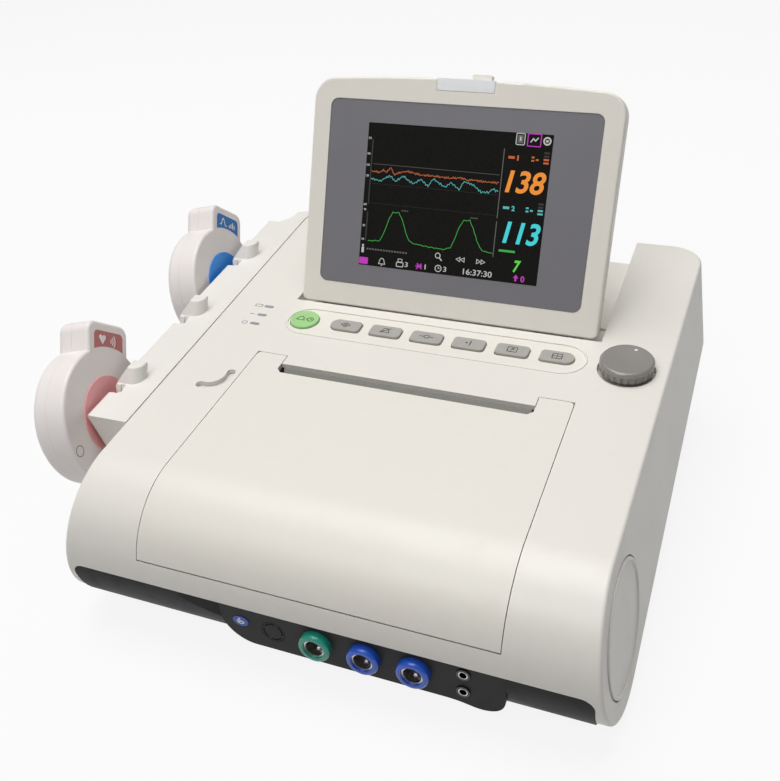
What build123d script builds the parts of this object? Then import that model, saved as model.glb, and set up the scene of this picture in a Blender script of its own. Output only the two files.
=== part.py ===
"""Desk-top fetal monitor with a folding display, a chart printer and two transducers."""

from build123d import *
import os
from math import cos, degrees, pi, radians, sin, sqrt, tan

# Driving dimensions, in millimetres and degrees.
# Frame: +X to the right, +Y to the back, +Z up, origin on the desk under the body's centre.

# Main body
foot_height = 2.5
deck_height = 106.4
deck_slope = 5.5
roll_radius = 45.0
roll_front_y = -165.2
rear_wall_y = 164.0
lower_edge_slope = 12.1
deck_half_width = 140.5
side_taper = 0.02
side_flare = 0.15
rear_corner_radius = 20.0
soft_edge = 1.8
wall = 2.6
seat_gap = 0.2
base_wall = 3.0
base_front_drop = 3.6
base_front_half_width = 140.3
base_front_corner = 7.0
tub_half_width = 134.0
tub_rear_y = 150.0
rim_height = 6.0
end_cap_radius = 33.5
end_cap_gap = 0.9
end_cap_thickness = 1.4
bead_width = 2.2
bead_height = 0.8
foot_radius = 9.0
foot_x = 118.0
foot_front_y = -96.0
foot_rear_y = 132.0

# Display
screen_tilt = 20.2
screen_centre_y = 66.0
screen_rise = 70.6
screen_width = 192.0
screen_bottom = 71.0
screen_top = 68.0
screen_crown = 3.5
screen_corner_top = 14.0
screen_corner_bottom = 4.0
front_depth = 8.0
back_depth = 5.3
frame_wall = 2.4
window_width = 168.8
window_height = 113.2
window_corner = 5.0
window_thickness = 1.6
window_sink = 0.4
plate_depth = 3.4
lcd_width = 128.0
lcd_height = 99.0
lcd_opening_width = 118.0
lcd_opening_height = 89.2
lcd_thickness = 4.0
lamp_depth = 5.6
pivot_depth = 11.0
pivot_up = 1.5
recess_half_width = 99.3
recess_front_y = 40.6
recess_drop = 1.4
groove_drop = 2.9
pocket_half_width = 86.0
pocket_rear_y = 67.0
pocket_drop = 13.4
barrel_radius = 6.0
barrel_length = 20.0
barrel_centre_x = 70.0
hinge_pin_radius = 2.5
pin_clearance = 0.05
ear_radius = 6.5
ear_thickness = 3.0
ear_side_gap = 0.5
notch_radius = 8.3
bracket_plate = 2.4
catch_x = 9.0
catch_width = 12.0
catch_height = 3.0

# Printer
door_half_width = 96.5
door_gap = 0.45
door_thickness = 2.8
ear_inner_x = 77.2
ear_rear_y = -19.4
slot_rear_y = -27.4
slot_front_y = -35.6
door_pivot_drop = 45.0
door_bead_radius = 2.3
door_lip_radius = 2.65
door_swing_radius = 3.1
door_rib_pitch = 48.0
door_pin_radius = 1.2
tray_gap = 0.5
tray_half_width = 96.2
tray_wall = 2.0
tray_rear_y = -13.0
tray_depth = 50.4
paper_width = 150.0
paper_length = 90.0
paper_stack = 14.0
paper_front_y = -146.0
roller_radius = 6.0
roller_y = -42.0
roller_drop = 11.4
roller_shaft_radius = 2.0
roller_half_length = 74.0
gear_module = 0.8
platen_teeth = 16
drive_teeth = 24
gear_width = 4.0
gear_play = 0.1
tooth_play = 0.4
gear_x = 83.0
motor_x = 72.0
motor_length = 24.0
motor_radius = 9.5
drive_turn = 7.5
drive_shaft_radius = 1.5
tear_lip_reach = 4.0
tear_lip_drop = 6.5

# Controls on the deck
strip_width = 191.0
strip_height = 29.7
strip_y = 18.9
strip_depth = 0.9
strip_thickness = 0.5
strip_rim_width = 1.2
strip_rim_height = 0.35
round_key_x = -83.5
round_key_radius = 9.3
first_key_x = -55.1
key_pitch = 26.63
key_count = 6
key_width = 20.0
key_height = 10.6
key_corner = 2.6
key_proud = 1.2
key_travel = 0.9
key_gap = 0.3
key_flange = 1.2
flange_grow = 1.0
board_drop = 8.0
knob_x = 117.7
knob_y = 17.3
knob_radius = 15.2
knob_top = 7.4
knob_ribs = 24
knob_well_radius = 16.3
knob_well_depth = 4.0
knob_foot_gap = 0.3
knob_bore_top = 5.0
knob_travel = 0.8
knob_shaft_radius = 3.0
light_x = -113.5
light_y = 17.7
light_pitch = 10.1
light_length = 6.4
light_width = 2.4
finger_inset = 26.7
finger_y = -46.8
finger_radius = 11.6
finger_width = 5.4
finger_from = -97.0
finger_to = 19.0
release_plate = 1.2
release_arm = 4.0
release_travel = 2.0

# Connector chin
chin_face_y = -163.0
chin_bottom_z = 20.5
chin_left_x = -52.0
chin_right_x = 99.5
chin_left_radius = 20.0
chin_depth = 20.0
socket_z = 33.0
socket_first_x = 2.8
socket_pitch = 25.8
collar_radius = 8.5
collar_height = 4.6
socket_shell_radius = 5.7
socket_bore_radius = 4.7
socket_proud = 3.4
socket_depth = 13.0
insert_depth = 4.0
blank_x = -21.5
blank_radius = 6.2
badge_x = -39.7
badge_z = 35.0
badge_width = 9.0
badge_height = 6.5
jack_x = 78.9
jack_z = 39.4
jack_pitch = 11.4
jack_radius = 3.4
jack_bore_radius = 1.8
jack_depth = 13.0

# Transducer rail and transducers
rail_width = 26.2
rail_front_y = -101.5
rail_end_y = 138.0
rail_tip_y = 158.0
rail_height = 24.0
rail_draft = 0.31
rail_wall = 2.8
rail_edge = 0.8
hook_first_y = -82.6
hook_pitch = 75.1
hook_count = 3
hook_drop = 14.2
slot_lean = 32.0
neck_radius = 1.9
neck_gap = 0.3
head_width = 5.4
head_length = 12.0
head_start = 9.2
head_thickness = 2.4
head_gap = 0.5
lug_width = 15.0
lug_length = 9.0
lug_height = 8.4
lug_slope = 0.75
transducer_out = 27.4
transducer_tilt = 12.2
transducer_turns = (6.2, 4.9, 3.5)
transducer_lean = 42.5
transducer_radius = 40.3
transducer_front = 12.0
transducer_back = 11.0
front_edge = 2.0
back_edge = 5.0
tab_width = 36.6
tab_reach = 54.5
tab_corner = 6.5
disc_radius = 22.7
disc_thickness = 0.8

# Inside the base, and its rear wall
board_x = (-6.0, 126.0)
board_y = (-12.0, 122.0)
board_z = 20.0
bay_x = (-62.0, 62.0)
bay_y = (-102.0, -32.0)
battery_top_z = 30.0
screw_radius = 3.0
speaker_x = 96.0
speaker_y = -62.0
speaker_radius = 25.0
supply_x = (-128.0, -18.0)
supply_y = (66.0, 138.0)
supply_top_z = 40.0
supply_slots = 8
rear_panel_x = (-122.0, 48.0)
rear_panel_z = (13.0, 52.0)
inlet_x = -92.0
inlet_z = 30.0
stud_x = -60.0
network_x = 30.0

# Derived places
slope = radians(deck_slope)
lower = radians(lower_edge_slope)
tilt = radians(screen_tilt)
roll_y = roll_front_y + roll_radius
screen_centre_z = deck_height + screen_rise
recess_floor_z = deck_height - recess_drop
groove_floor_z = deck_height - groove_drop
door_pivot_z = deck_height - door_pivot_drop
tray_bottom_z = deck_height - tray_depth
finger_x = finger_inset - deck_half_width


def deck_z(y, drop=0.0):
    """Height of the deck at y, lowered square to the deck by drop."""
    return deck_height + y * tan(slope) - drop / cos(slope)


roll_z = deck_z(roll_y, roll_radius)
base_front_top = roll_z - base_front_drop
base_belly_radius = (roll_radius + roll_z - foot_height) / 2


def lower_z(y, lift=0.0):
    """Height of the upper housing's lower edge at y, lifted square to it."""
    tangent_z = roll_z - roll_radius / cos(lower)
    return tangent_z + (y - roll_y) * tan(lower) + lift / cos(lower)


def side_x(y, z, inset=0.0):
    """Half width of the upper housing at a point of its side wall."""
    reach = deck_half_width + side_taper * y + side_flare * (deck_z(y) - z)
    return reach - inset * sqrt(1.0 + side_flare**2)


def on_deck(x, y, lift=0.0):
    """Plane on the deck at x, y, lifted square to the deck."""
    normal = (0, -sin(slope), cos(slope))
    base = Plane(origin=(x, y, deck_z(y)), x_dir=(1, 0, 0), z_dir=normal)
    return base.offset(lift)


def side_plane(side, inset=0.0):
    """Plane of a side wall, facing outwards. Side is 1 on the right and -1 on the left."""
    normal = (side, -side_taper - side_flare * tan(slope), side_flare)
    foot = (side * side_x(0.0, deck_height), 0.0, deck_height)
    return Plane(origin=foot, x_dir=(0, 1, 0), z_dir=normal).offset(-inset)


def screen_plane(depth=0.0):
    """Plane of the display's front at the centre of the panel, moved back by depth."""
    normal = (0, -cos(tilt), sin(tilt))
    centre = (0, screen_centre_y, screen_centre_z)
    return Plane(origin=centre, x_dir=(1, 0, 0), z_dir=normal).offset(-depth)


def screen_point(up, depth):
    """Point y, z of the display, up from its centre and back from its front."""
    y = screen_centre_y + up * sin(tilt) + depth * cos(tilt)
    z = screen_centre_z + up * cos(tilt) - depth * sin(tilt)
    return (y, z)


pivot_y, pivot_z = screen_point(pivot_up - screen_bottom, pivot_depth)
pocket_floor_z = pivot_z - pocket_drop
roller_z = deck_z(roller_y, roller_drop)
centre_distance = gear_module * (platen_teeth + drive_teeth) / 2 + gear_play
drive_gear_z = roller_z - centre_distance
bead_reach = roll_radius - door_bead_radius
door_pivot_y = roll_y - sqrt(bead_reach**2 - (door_pivot_z - roll_z) ** 2)
base_floor_z = foot_height + base_wall
chin_plane = Plane(origin=(0, chin_face_y, 0), x_dir=(1, 0, 0), z_dir=(0, -1, 0))
rear_plane = Plane(origin=(0, tub_rear_y, 0), x_dir=(-1, 0, 0), z_dir=(0, 1, 0))
rail_turn = degrees(side_taper)
parts = {}


def yz(points):
    """Face in the Y-Z plane through a closed list of y, z points."""
    return Plane.YZ * make_face(Polyline(*points, close=True))


def across(face, half_width):
    """Solid of a Y-Z face, drawn out to both sides by half_width."""
    return extrude(face, amount=half_width, both=True)


def bar(x_low, x_high, face):
    """Solid of a Y-Z face between two x values."""
    return Pos(x_low, 0, 0) * extrude(face, amount=x_high - x_low)


def rod(x_low, x_high, y, z, radius):
    """Round bar along X."""
    length = x_high - x_low
    return Pos((x_low + x_high) / 2, y, z) * Rot(0, 90, 0) * Cylinder(radius, length)


def block(x, y, z):
    """Box from three pairs of low and high values."""
    size = (x[1] - x[0], y[1] - y[0], z[1] - z[0])
    middle = ((x[0] + x[1]) / 2, (y[0] + y[1]) / 2, (z[0] + z[1]) / 2)
    return Pos(*middle) * Box(*size)


def post(x, y, z_low, z_high, radius):
    """Upright round post."""
    return Pos(x, y, (z_low + z_high) / 2) * Cylinder(radius, z_high - z_low)


def plate(plane, sketch, thickness):
    """Sketch on a plane, thickened backwards from it."""
    return extrude(plane * sketch, amount=-thickness)


def mirrored(shape):
    """The shape and its mirror image about the middle plane."""
    return shape + mirror(shape, about=Plane.YZ)


# Upper housing


def housing_profile(inset):
    """Side view of the housing: front roll, sloping deck, rear wall and lower edge."""
    radius = roll_radius - inset
    rear = rear_wall_y - inset
    top_tangent = (roll_y - radius * sin(slope), roll_z + radius * cos(slope))
    low_tangent = (roll_y + radius * sin(lower), roll_z - radius * cos(lower))
    crest = (rear, deck_z(rear, inset))
    heel = (rear, lower_z(rear, inset))
    outline = [
        Line(top_tangent, crest),
        Line(crest, heel),
        Line(heel, low_tangent),
        ThreePointArc(low_tangent, (roll_y - radius, roll_z), top_tangent),
    ]
    return Plane.YZ * make_face(outline)


def between_sides(body, inset):
    """The part of a body between the two tapered side walls."""
    for side in (1, -1):
        body = split(body, bisect_by=side_plane(side, inset), keep=Keep.BOTTOM)
    return body


def housing_block(inset):
    """Solid housing between its two side walls, with round rear corners."""
    body = between_sides(across(housing_profile(inset), deck_half_width + 60), inset)
    rear = body.faces().sort_by(Axis.Y)[-1]
    upright = [e for e in rear.edges() if abs(e.tangent_at(0.5).Z) > 0.7]
    return fillet(upright, rear_corner_radius - inset)


def recess_block(grow):
    """Space behind the key strip that the display folds into."""
    top = deck_height + 60
    rear = rear_wall_y + 20
    front = recess_front_y - grow
    back = pocket_rear_y + grow
    reach = recess_half_width + grow
    pocket = pocket_half_width + grow
    room = block((-reach, reach), (back - 1, rear), (recess_floor_z - grow, top))
    room += block((-reach, reach), (front, back), (groove_floor_z - grow, top))
    return room + block((-pocket, pocket), (front, back), (pocket_floor_z - grow, top))


def knob_well(grow):
    """Round well in the deck under the knob."""
    depth = knob_well_depth + grow
    plane = on_deck(knob_x, knob_y, -depth)
    return extrude(plane * Circle(knob_well_radius + grow), amount=depth + 10)


def strip_outline(grow=0.0):
    """Outline of the key strip, with round ends."""
    return SlotOverall(strip_width + 2 * grow, strip_height + 2 * grow)


def finger_arc(radius, width):
    """Curved slot about the centre of the door release."""
    points = []
    for angle in (finger_from, (finger_from + finger_to) / 2, finger_to):
        a = radians(angle)
        points.append((radius * cos(a), radius * sin(a)))
    return SlotArc(ThreePointArc(*points), width)


def door_opening():
    """Opening over the paper tray, with the two notches for the door's ears."""
    half = door_half_width + door_gap
    top = deck_height + 20
    notch_rear = ear_rear_y + door_gap
    main = block((-half, half), (roll_front_y - 5, slot_rear_y), (door_pivot_z, top))
    notch_low = deck_z(ear_rear_y) - 12
    notch = block((ear_inner_x - door_gap, half), (slot_rear_y - 1, notch_rear), (notch_low, top))
    bead = rod(-half, half, door_pivot_y, door_pivot_z, door_swing_radius)
    return main + mirrored(notch) + bead


def base_front_window(gap):
    """Room for the dark base between the white cheeks of the roll."""
    half = base_front_half_width + gap
    top = base_front_top + gap
    low = -20.0
    outline = Pos(0, (top + low) / 2) * Rectangle(2 * half, top - low)
    tops = outline.vertices().group_by(Axis.Y)[-1]
    window = fillet(tops, base_front_corner + gap)
    plane = Plane(origin=(0, roll_front_y - 5, 0), x_dir=(1, 0, 0), z_dir=(0, -1, 0))
    return extrude(plane * window, amount=-(roll_radius + 5))


def key_sketches(grow=0.0):
    """Outlines of the round start key and the six oblong keys, from left to right."""
    outlines = [Pos(round_key_x, 0) * Circle(round_key_radius + grow)]
    half = key_width / 2 + grow
    tall = key_height / 2 + grow
    for index in range(key_count):
        shape = Rectangle(2 * half, 2 * tall)
        left = shape.vertices().group_by(Axis.X)[0]
        right = shape.vertices().group_by(Axis.X)[-1]
        round_end = tall - 0.05
        shape = fillet(left, round_end if index == 0 else key_corner)
        right = shape.vertices().group_by(Axis.X)[-1]
        shape = fillet(right, round_end if index == key_count - 1 else key_corner)
        outlines.append(Pos(first_key_x + index * key_pitch, 0) * shape)
    return outlines


def light_slots(grow=0.0):
    """Outlines of the three status lights."""
    shape = SlotOverall(light_length + 2 * grow, light_width + 2 * grow)
    return [Pos(0, step * light_pitch) * shape for step in (-1, 0, 1)]


def inner_bosses():
    """Posts under the deck that carry the keypad board."""
    posts = []
    for x in (-92.0, -30.0, 30.0, 92.0):
        for offset in (-11.5, 11.5):
            plane = on_deck(x, strip_y + offset, -board_drop)
            posts.append(extrude(plane * Circle(2.4), amount=board_drop - wall + 0.4))
    return posts


def end_cap_place(side):
    """Place of an end cap's centre, on the side wall's plane."""
    centre = side_plane(side).to_local_coords(Vector(side * deck_half_width, roll_y, roll_z))
    return Pos(centre.X, centre.Y)


def end_cap_seat(side, gap, depth):
    """Round step in a side wall for its end cap, or the cap itself when the gap is nothing."""
    plane = side_plane(side)
    middle = end_cap_place(side)
    flange = plate(plane, middle * Circle(end_cap_radius + gap), end_cap_thickness + gap / 3)
    boss = plate(plane, middle * Circle(end_cap_radius - 4 + gap), depth)
    return flange + boss


def upper_housing():
    """White housing shell, open below, with everything the deck carries cut into it."""
    outer = housing_block(0.0)
    flats = outer.faces().filter_by(GeomType.PLANE)
    rims = [e for f in flats if abs(f.normal_at().X) > 0.9 for e in f.edges()]
    outer = fillet(rims, soft_edge)
    inner = housing_block(wall) - recess_block(wall) - knob_well(wall)
    shell = outer - recess_block(0.0) - knob_well(0.0) - inner
    rise = wall + rim_height
    under = [
        (roll_y, -30),
        (roll_y, roll_z),
        (roll_y + 20, lower_z(roll_y + 20, rise)),
        (rear_wall_y - wall, lower_z(rear_wall_y - wall, rise)),
        (rear_wall_y - wall, -30),
    ]
    opening = between_sides(across(yz(under), deck_half_width + 60), wall)
    shell -= opening
    shell -= base_front_window(seat_gap)
    shell -= door_opening()
    boss = rod(door_half_width + door_gap, door_half_width + 5.5, door_pivot_y, door_pivot_z, 4.2)
    shell += mirrored(boss & housing_block(0.1))
    hole = door_pin_radius + pin_clearance
    shell -= mirrored(rod(door_half_width - 1, door_half_width + 4, door_pivot_y, door_pivot_z, hole))
    shell += inner_bosses()
    strip_plane = on_deck(0, strip_y)
    shell -= plate(strip_plane, strip_outline(), strip_depth)
    for sketch in key_sketches(key_gap):
        shell -= plate(strip_plane, sketch, 2 * wall)
    for sketch in light_slots(0.1):
        shell -= plate(on_deck(light_x, light_y), sketch, 1.6)
    shell -= extrude(on_deck(knob_x, knob_y) * Circle(knob_shaft_radius + 0.6), amount=-20)
    shell -= plate(on_deck(finger_x, finger_y), finger_arc(finger_radius, finger_width), 2 * wall)
    for side in (1, -1):
        shell -= end_cap_seat(side, end_cap_gap, 2 * wall)
    return shell


def end_cap(side):
    """Round cap that closes the end of the roll, with a raised bead round its rim."""
    plane = side_plane(side, -bead_height)
    ring = Circle(end_cap_radius) - Circle(end_cap_radius - bead_width)
    bead = plate(plane, end_cap_place(side) * ring, bead_height + 0.5)
    crest = bead.faces().sort_by(Axis(plane.origin, plane.z_dir))[-1]
    return end_cap_seat(side, 0.0, wall) + fillet(crest.edges(), 0.7)


# Base


def base_profile(inset):
    """Side view of the base: belly of the roll, flat underside and rear wall."""
    front_reach = sqrt(roll_radius**2 - (base_front_top - roll_z) ** 2)
    arc_start = (roll_y - front_reach + inset, base_front_top)
    diagonal = (base_belly_radius - inset) * sqrt(0.5)
    arc_middle = (roll_y - diagonal, roll_z - diagonal)
    arc_end = (roll_y, foot_height + inset)
    rear = tub_rear_y - inset
    shoulder = (roll_y + 10, lower_z(roll_y + 10, rim_height))
    outline = [
        ThreePointArc(arc_start, arc_middle, arc_end),
        Line(arc_end, (rear, foot_height + inset)),
        Line((rear, foot_height + inset), (rear, lower_z(rear, rim_height))),
        Line((rear, lower_z(rear, rim_height)), shoulder),
        Line(shoulder, (roll_y, base_front_top)),
        Line((roll_y, base_front_top), arc_start),
    ]
    return Plane.YZ * make_face(outline)


def rim_block(inset, rise):
    """Lower band of the housing's inside, where the base's rim sits."""
    rear = rear_wall_y + 10
    band = [
        (roll_y, -20),
        (rear, -20),
        (rear, lower_z(rear, rise)),
        (roll_y, lower_z(roll_y, rise)),
    ]
    return housing_block(inset) & across(yz(band), deck_half_width + 60)


def chin_outline(grow=0.0):
    """Front view of the connector chin: a long sweep on the left, a lobe on the right."""
    low = chin_bottom_z - grow
    top = base_front_top + grow
    left_x = chin_left_x - grow
    right_x = chin_right_x + grow
    radius = chin_left_radius + grow
    middle = (left_x + radius, low + radius)
    sweep = radius * sqrt(0.5)
    lobe = [(chin_right_x - 30, low), (chin_right_x - 11, low - 2.0), (right_x, low + 8)]
    outline = [
        Line((left_x, top), (left_x, middle[1])),
        ThreePointArc((left_x, middle[1]), (middle[0] - sweep, middle[1] - sweep), (middle[0], low)),
        Line((middle[0], low), lobe[0]),
        Spline(lobe, tangents=[(1, 0), (0, 1)]),
        Line(lobe[2], (right_x, top)),
        Line((right_x, top), (left_x, top)),
    ]
    return make_face(outline)


def socket_places():
    """Centres of the green socket and the two blue sockets on the chin."""
    return [(socket_first_x + index * socket_pitch, socket_z) for index in range(3)]


def jack_places():
    """Centres of the two audio jacks on the chin."""
    return [(jack_x, jack_z), (jack_x, jack_z - jack_pitch)]


def foot_places():
    """Centres of the four feet."""
    return [(x, y) for x in (-foot_x, foot_x) for y in (foot_front_y, foot_rear_y)]


def tray_posts():
    """Places of the posts under the paper tray."""
    return [(x, y) for x in (-82.0, 82.0) for y in (-108.0, -22.0)]


def board_posts():
    """Places of the posts under the main board."""
    return [(x, y) for x in (board_x[0] + 6, board_x[1] - 6) for y in (board_y[0] + 6, board_y[1] - 6)]


def base_shell():
    """Hollow form of the base, before anything is added to it or cut out of it."""
    rise = wall + rim_height
    rear_half = block((-200, 200), (roll_y - 0.5, 300), (-10, 300))
    front_half = block((-200, 200), (-300, roll_y + 0.5), (-10, 300))
    front = across(base_profile(0.0), base_front_half_width + 5) & base_front_window(0.0)
    tub = across(base_profile(0.0), tub_half_width) & rear_half
    body = front + tub + rim_block(wall + seat_gap, rise)
    body -= across(base_profile(base_wall), base_front_half_width - base_wall) & front_half
    body -= across(base_profile(base_wall), tub_half_width - base_wall) & rear_half
    body -= rim_block(wall + seat_gap + base_wall, rise + 60)
    inner_x = tub_half_width - base_wall
    body -= block((-inner_x, inner_x), (roll_y, tub_rear_y - base_wall), (base_floor_z, 200))
    return body


def grille_slits():
    """Slits under the speaker, in a round field."""
    slits = []
    for row in range(-4, 5):
        reach = sqrt(speaker_radius**2 - (row * 5.6) ** 2)
        slit = Pos(speaker_x, speaker_y + row * 5.6) * SlotOverall(2 * reach - 4, 2.2)
        slits.append(extrude(slit, amount=base_floor_z + 1))
    return slits


def rear_vents():
    """Upright slots in the rear wall of the base."""
    vents = []
    for column in range(9):
        place = Pos(-(60 + column * 7.0), 36) * Rot(0, 0, 90) * SlotOverall(24, 2.6)
        vents.append(plate(rear_plane, place, 2 * base_wall))
    return vents


def battery_frame():
    """Walls that stand round the battery bay."""
    low = base_floor_z - 0.5
    high = battery_top_z - 6
    outside = block((bay_x[0] - 2.4, bay_x[1] + 2.4), (bay_y[0] - 2.4, bay_y[1] + 2.4), (low, high))
    inside = block((bay_x[0] - 0.3, bay_x[1] + 0.3), (bay_y[0] - 0.3, bay_y[1] + 0.3), (low - 1, high + 1))
    return outside - inside


def chin_wedge():
    """Shallow slope that leads from the roll's belly to the chin's flat face."""
    points = [
        (chin_left_x - 26, roll_front_y - 5),
        (chin_left_x - 26, roll_front_y),
        (chin_left_x, chin_face_y),
        (chin_right_x, chin_face_y),
        (chin_right_x, roll_front_y - 5),
    ]
    return Pos(0, 0, -5) * extrude(make_face(Polyline(*points, close=True)), amount=base_front_top + 6)


def base_housing():
    """Dark base: belly of the roll, tub, and the rim under the housing."""
    body = base_shell() - chin_wedge()
    body -= plate(chin_plane.offset(10), chin_outline(seat_gap), chin_depth + 10 + seat_gap)
    for x, y in tray_posts():
        body += post(x, y, base_floor_z - 1, tray_bottom_z - seat_gap, 4.0)
    for x, y in board_posts():
        body += post(x, y, base_floor_z - 1, board_z, 3.5)
    body += battery_frame()
    floor_cut = ((bay_x[0] - 0.3, bay_x[1] + 0.3), (bay_y[0] - 0.3, bay_y[1] + 0.3), (0, base_floor_z + 1))
    body -= block(*floor_cut)
    for x, y in foot_places():
        body -= post(x, y, 0, foot_height + 1.2, foot_radius + 0.1)
    for x, y in case_screw_places():
        body -= post(x, y, 0, foot_height + 1.8, screw_radius + 0.1)
    return body - grille_slits() - rear_panel_blank(seat_gap)


def connector_panel():
    """Chin with the bores of its sockets and jacks, and the seats of its plug and badge."""
    body = plate(chin_plane, chin_outline(), chin_depth)
    for x, z in socket_places():
        body -= plate(chin_plane, Pos(x, z) * Circle(socket_shell_radius + 0.1), chin_depth)
    for x, z in jack_places():
        body -= plate(chin_plane, Pos(x, z) * Circle(jack_radius + 0.1), chin_depth)
    body -= plate(chin_plane, Pos(blank_x, socket_z) * Circle(blank_radius + 0.3), 2.2)
    seat = Ellipse(badge_width / 2 + 0.1, badge_height / 2 + 0.1)
    return body - plate(chin_plane, Pos(badge_x, badge_z) * seat, 1.0)


def rear_panel_blank(gap):
    """Flat panel in the rear wall without its holes, or the window round it with a gap."""
    wide = rear_panel_x[1] - rear_panel_x[0] + 2 * gap
    tall = rear_panel_z[1] - rear_panel_z[0] + 2 * gap
    middle = Pos(-(rear_panel_x[0] + rear_panel_x[1]) / 2, (rear_panel_z[0] + rear_panel_z[1]) / 2)
    outline = middle * RectangleRounded(wide, tall, 4.0 + gap)
    return plate(rear_plane.offset(2 * gap), outline, base_wall + 4 * gap)


def rear_panel():
    """Rear panel with the vents and the holes of the inlet, the stud and the network port."""
    body = rear_panel_blank(0.0) - rear_vents()
    through = (tub_rear_y - 2 * base_wall, tub_rear_y + base_wall)
    body -= block((inlet_x - 14.1, inlet_x + 14.1), through, (inlet_z - 10.1, inlet_z + 10.1))
    body -= block((network_x - 8.1, network_x + 8.1), through, (board_z + 1.5, board_z + 16.3))
    return body - plate(rear_plane, Pos(-stud_x, inlet_z) * Circle(4.1), 2 * base_wall)


def rubber_feet():
    """Four feet let into the underside."""
    feet = [post(x, y, 0, foot_height + 1.1, foot_radius) for x, y in foot_places()]
    return Compound(children=[fillet(f.edges().group_by(Axis.Z)[0], 1.0) for f in feet])


def case_screw_places():
    """Places of the screws that hold the base to the housing."""
    return [(x, y) for x in (-122.0, 122.0) for y in (-58.0, 30.0, 98.0)]


def door_screw_places():
    """Places of the two screws in the battery door."""
    return [(x, (bay_y[0] + bay_y[1]) / 2) for x in (bay_x[0] + 7, bay_x[1] - 7)]


def screw(x, y):
    """One countersunk screw head with its cross slot."""
    head = post(x, y, foot_height + 0.2, foot_height + 1.7, screw_radius)
    for turn in (0, 90):
        head -= Pos(x, y, foot_height + 0.3) * Rot(0, 0, turn) * Box(3.4, 0.8, 1.2)
    return head


def battery_door():
    """Flush cover under the battery."""
    long = (bay_x[0] + seat_gap, bay_x[1] - seat_gap)
    short = (bay_y[0] + seat_gap, bay_y[1] - seat_gap)
    lid = block(long, short, (foot_height, base_floor_z - 0.4))
    lid = fillet(lid.edges().filter_by(Axis.Z), 3.0)
    for x, y in door_screw_places():
        lid -= post(x, y, 0, foot_height + 1.8, screw_radius + 0.1)
    return lid - block((-12, 12), (bay_y[1] - 6, bay_y[1] - 3), (0, foot_height + 1.2))


def battery_pack():
    """Rechargeable pack with rounded long edges."""
    low = base_floor_z - 0.4 + seat_gap
    pack = block((bay_x[0] + 2, bay_x[1] - 2), (bay_y[0] + 1, bay_y[1] - 1), (low, battery_top_z))
    return fillet(pack.edges().filter_by(Axis.X), 5.0)


def main_board():
    """Circuit board with its larger components."""
    board = block(board_x, board_y, (board_z + seat_gap, board_z + 1.8))
    top = board_z + 1.7
    board += block((40, 66), (20, 46), (top, top + 3))
    board += block((80, 100), (60, 74), (top, top + 4))
    board += block((20, 28), (60, 112), (top, top + 7))
    caps = [post(104, y, top, top + 12, 4.0) for y in (10, 20, 30)]
    return board + caps


def power_supply():
    """Vented metal can of the power supply."""
    low = base_floor_z + seat_gap
    can = block(supply_x, supply_y, (low, supply_top_z))
    can = fillet(can.edges().filter_by(Axis.Z), 2.0)
    pitch = (supply_x[1] - supply_x[0]) / (supply_slots + 1)
    for column in range(supply_slots):
        middle = supply_x[0] + (column + 1) * pitch
        slot = (middle - pitch / 4, middle + pitch / 4)
        can -= block(slot, (supply_y[0] + 10, supply_y[1] - 10), (supply_top_z - 1, supply_top_z + 1))
    return can


def mains_inlet():
    """Appliance inlet with the hollow for its plug."""
    long = (tub_rear_y - 9, tub_rear_y + 0.8)
    deep = (tub_rear_y - 7, tub_rear_y + 2)
    shell = block((inlet_x - 14, inlet_x + 14), long, (inlet_z - 10, inlet_z + 10))
    return shell - block((inlet_x - 11.6, inlet_x + 11.6), deep, (inlet_z - 7.6, inlet_z + 7.6))


def earth_stud():
    """Equipotential stud in its round seat."""
    centre = Pos(-stud_x, inlet_z)
    seat = plate(rear_plane.offset(0.8), centre * Circle(4.0), 6.0)
    return seat + plate(rear_plane.offset(5.0), centre * Circle(2.6), 8.0)


def network_port():
    """Network socket on the main board, open to the rear."""
    low = board_z + 1.8
    body = block((network_x - 8, network_x + 8), (board_y[1] - 8, tub_rear_y + 0.4), (low, low + 14.2))
    deep = (tub_rear_y - 11, tub_rear_y + 2)
    return body - block((network_x - 6, network_x + 6), deep, (low + 2.2, low + 11))


def speaker():
    """Round speaker that faces the grille: flange, cone and magnet."""
    low = base_floor_z + seat_gap
    profile = [
        (0, low + 5),
        (speaker_radius - 5, low),
        (speaker_radius + 2, low),
        (speaker_radius + 2, low + 2.5),
        (speaker_radius - 3, low + 3),
        (12, low + 9),
        (12, low + 16),
        (0, low + 16),
    ]
    return Pos(speaker_x, speaker_y) * revolve(Plane.XZ * make_face(Polyline(*profile, close=True)), Axis.Z)


# Display


def screen_outline(inset=0.0):
    """Front view of the display: a soft crown and rounder corners on top."""
    half = screen_width / 2 - inset
    low = -screen_bottom + inset
    side = screen_top - inset
    crown = screen_top + screen_crown - inset
    outline = [
        Line((-half, low), (half, low)),
        Line((half, low), (half, side)),
        ThreePointArc((half, side), (0, crown), (-half, side)),
        Line((-half, side), (-half, low)),
    ]
    face = make_face(outline)
    tops = face.vertices().filter_by(lambda v: v.Y > 0)
    face = fillet(tops, screen_corner_top - inset)
    lows = face.vertices().filter_by(lambda v: v.Y < low + 1)
    return fillet(lows, max(screen_corner_bottom - inset, 1.0))


def slab(depth_front, depth_back, sketch):
    """Sketch in the display's plane, solid between two depths behind its front."""
    return plate(screen_plane(depth_front), sketch, depth_back - depth_front)


def lamp_outline(grow):
    """Outline of the alarm lamp in the display's top edge."""
    low = screen_top - 3.6 - grow
    points = [(-18.5 - grow, 90), (20.5 + grow, 90), (18.5 + grow, low), (-16.5 - grow, low)]
    return make_face(Polyline(*points, close=True))


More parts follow.
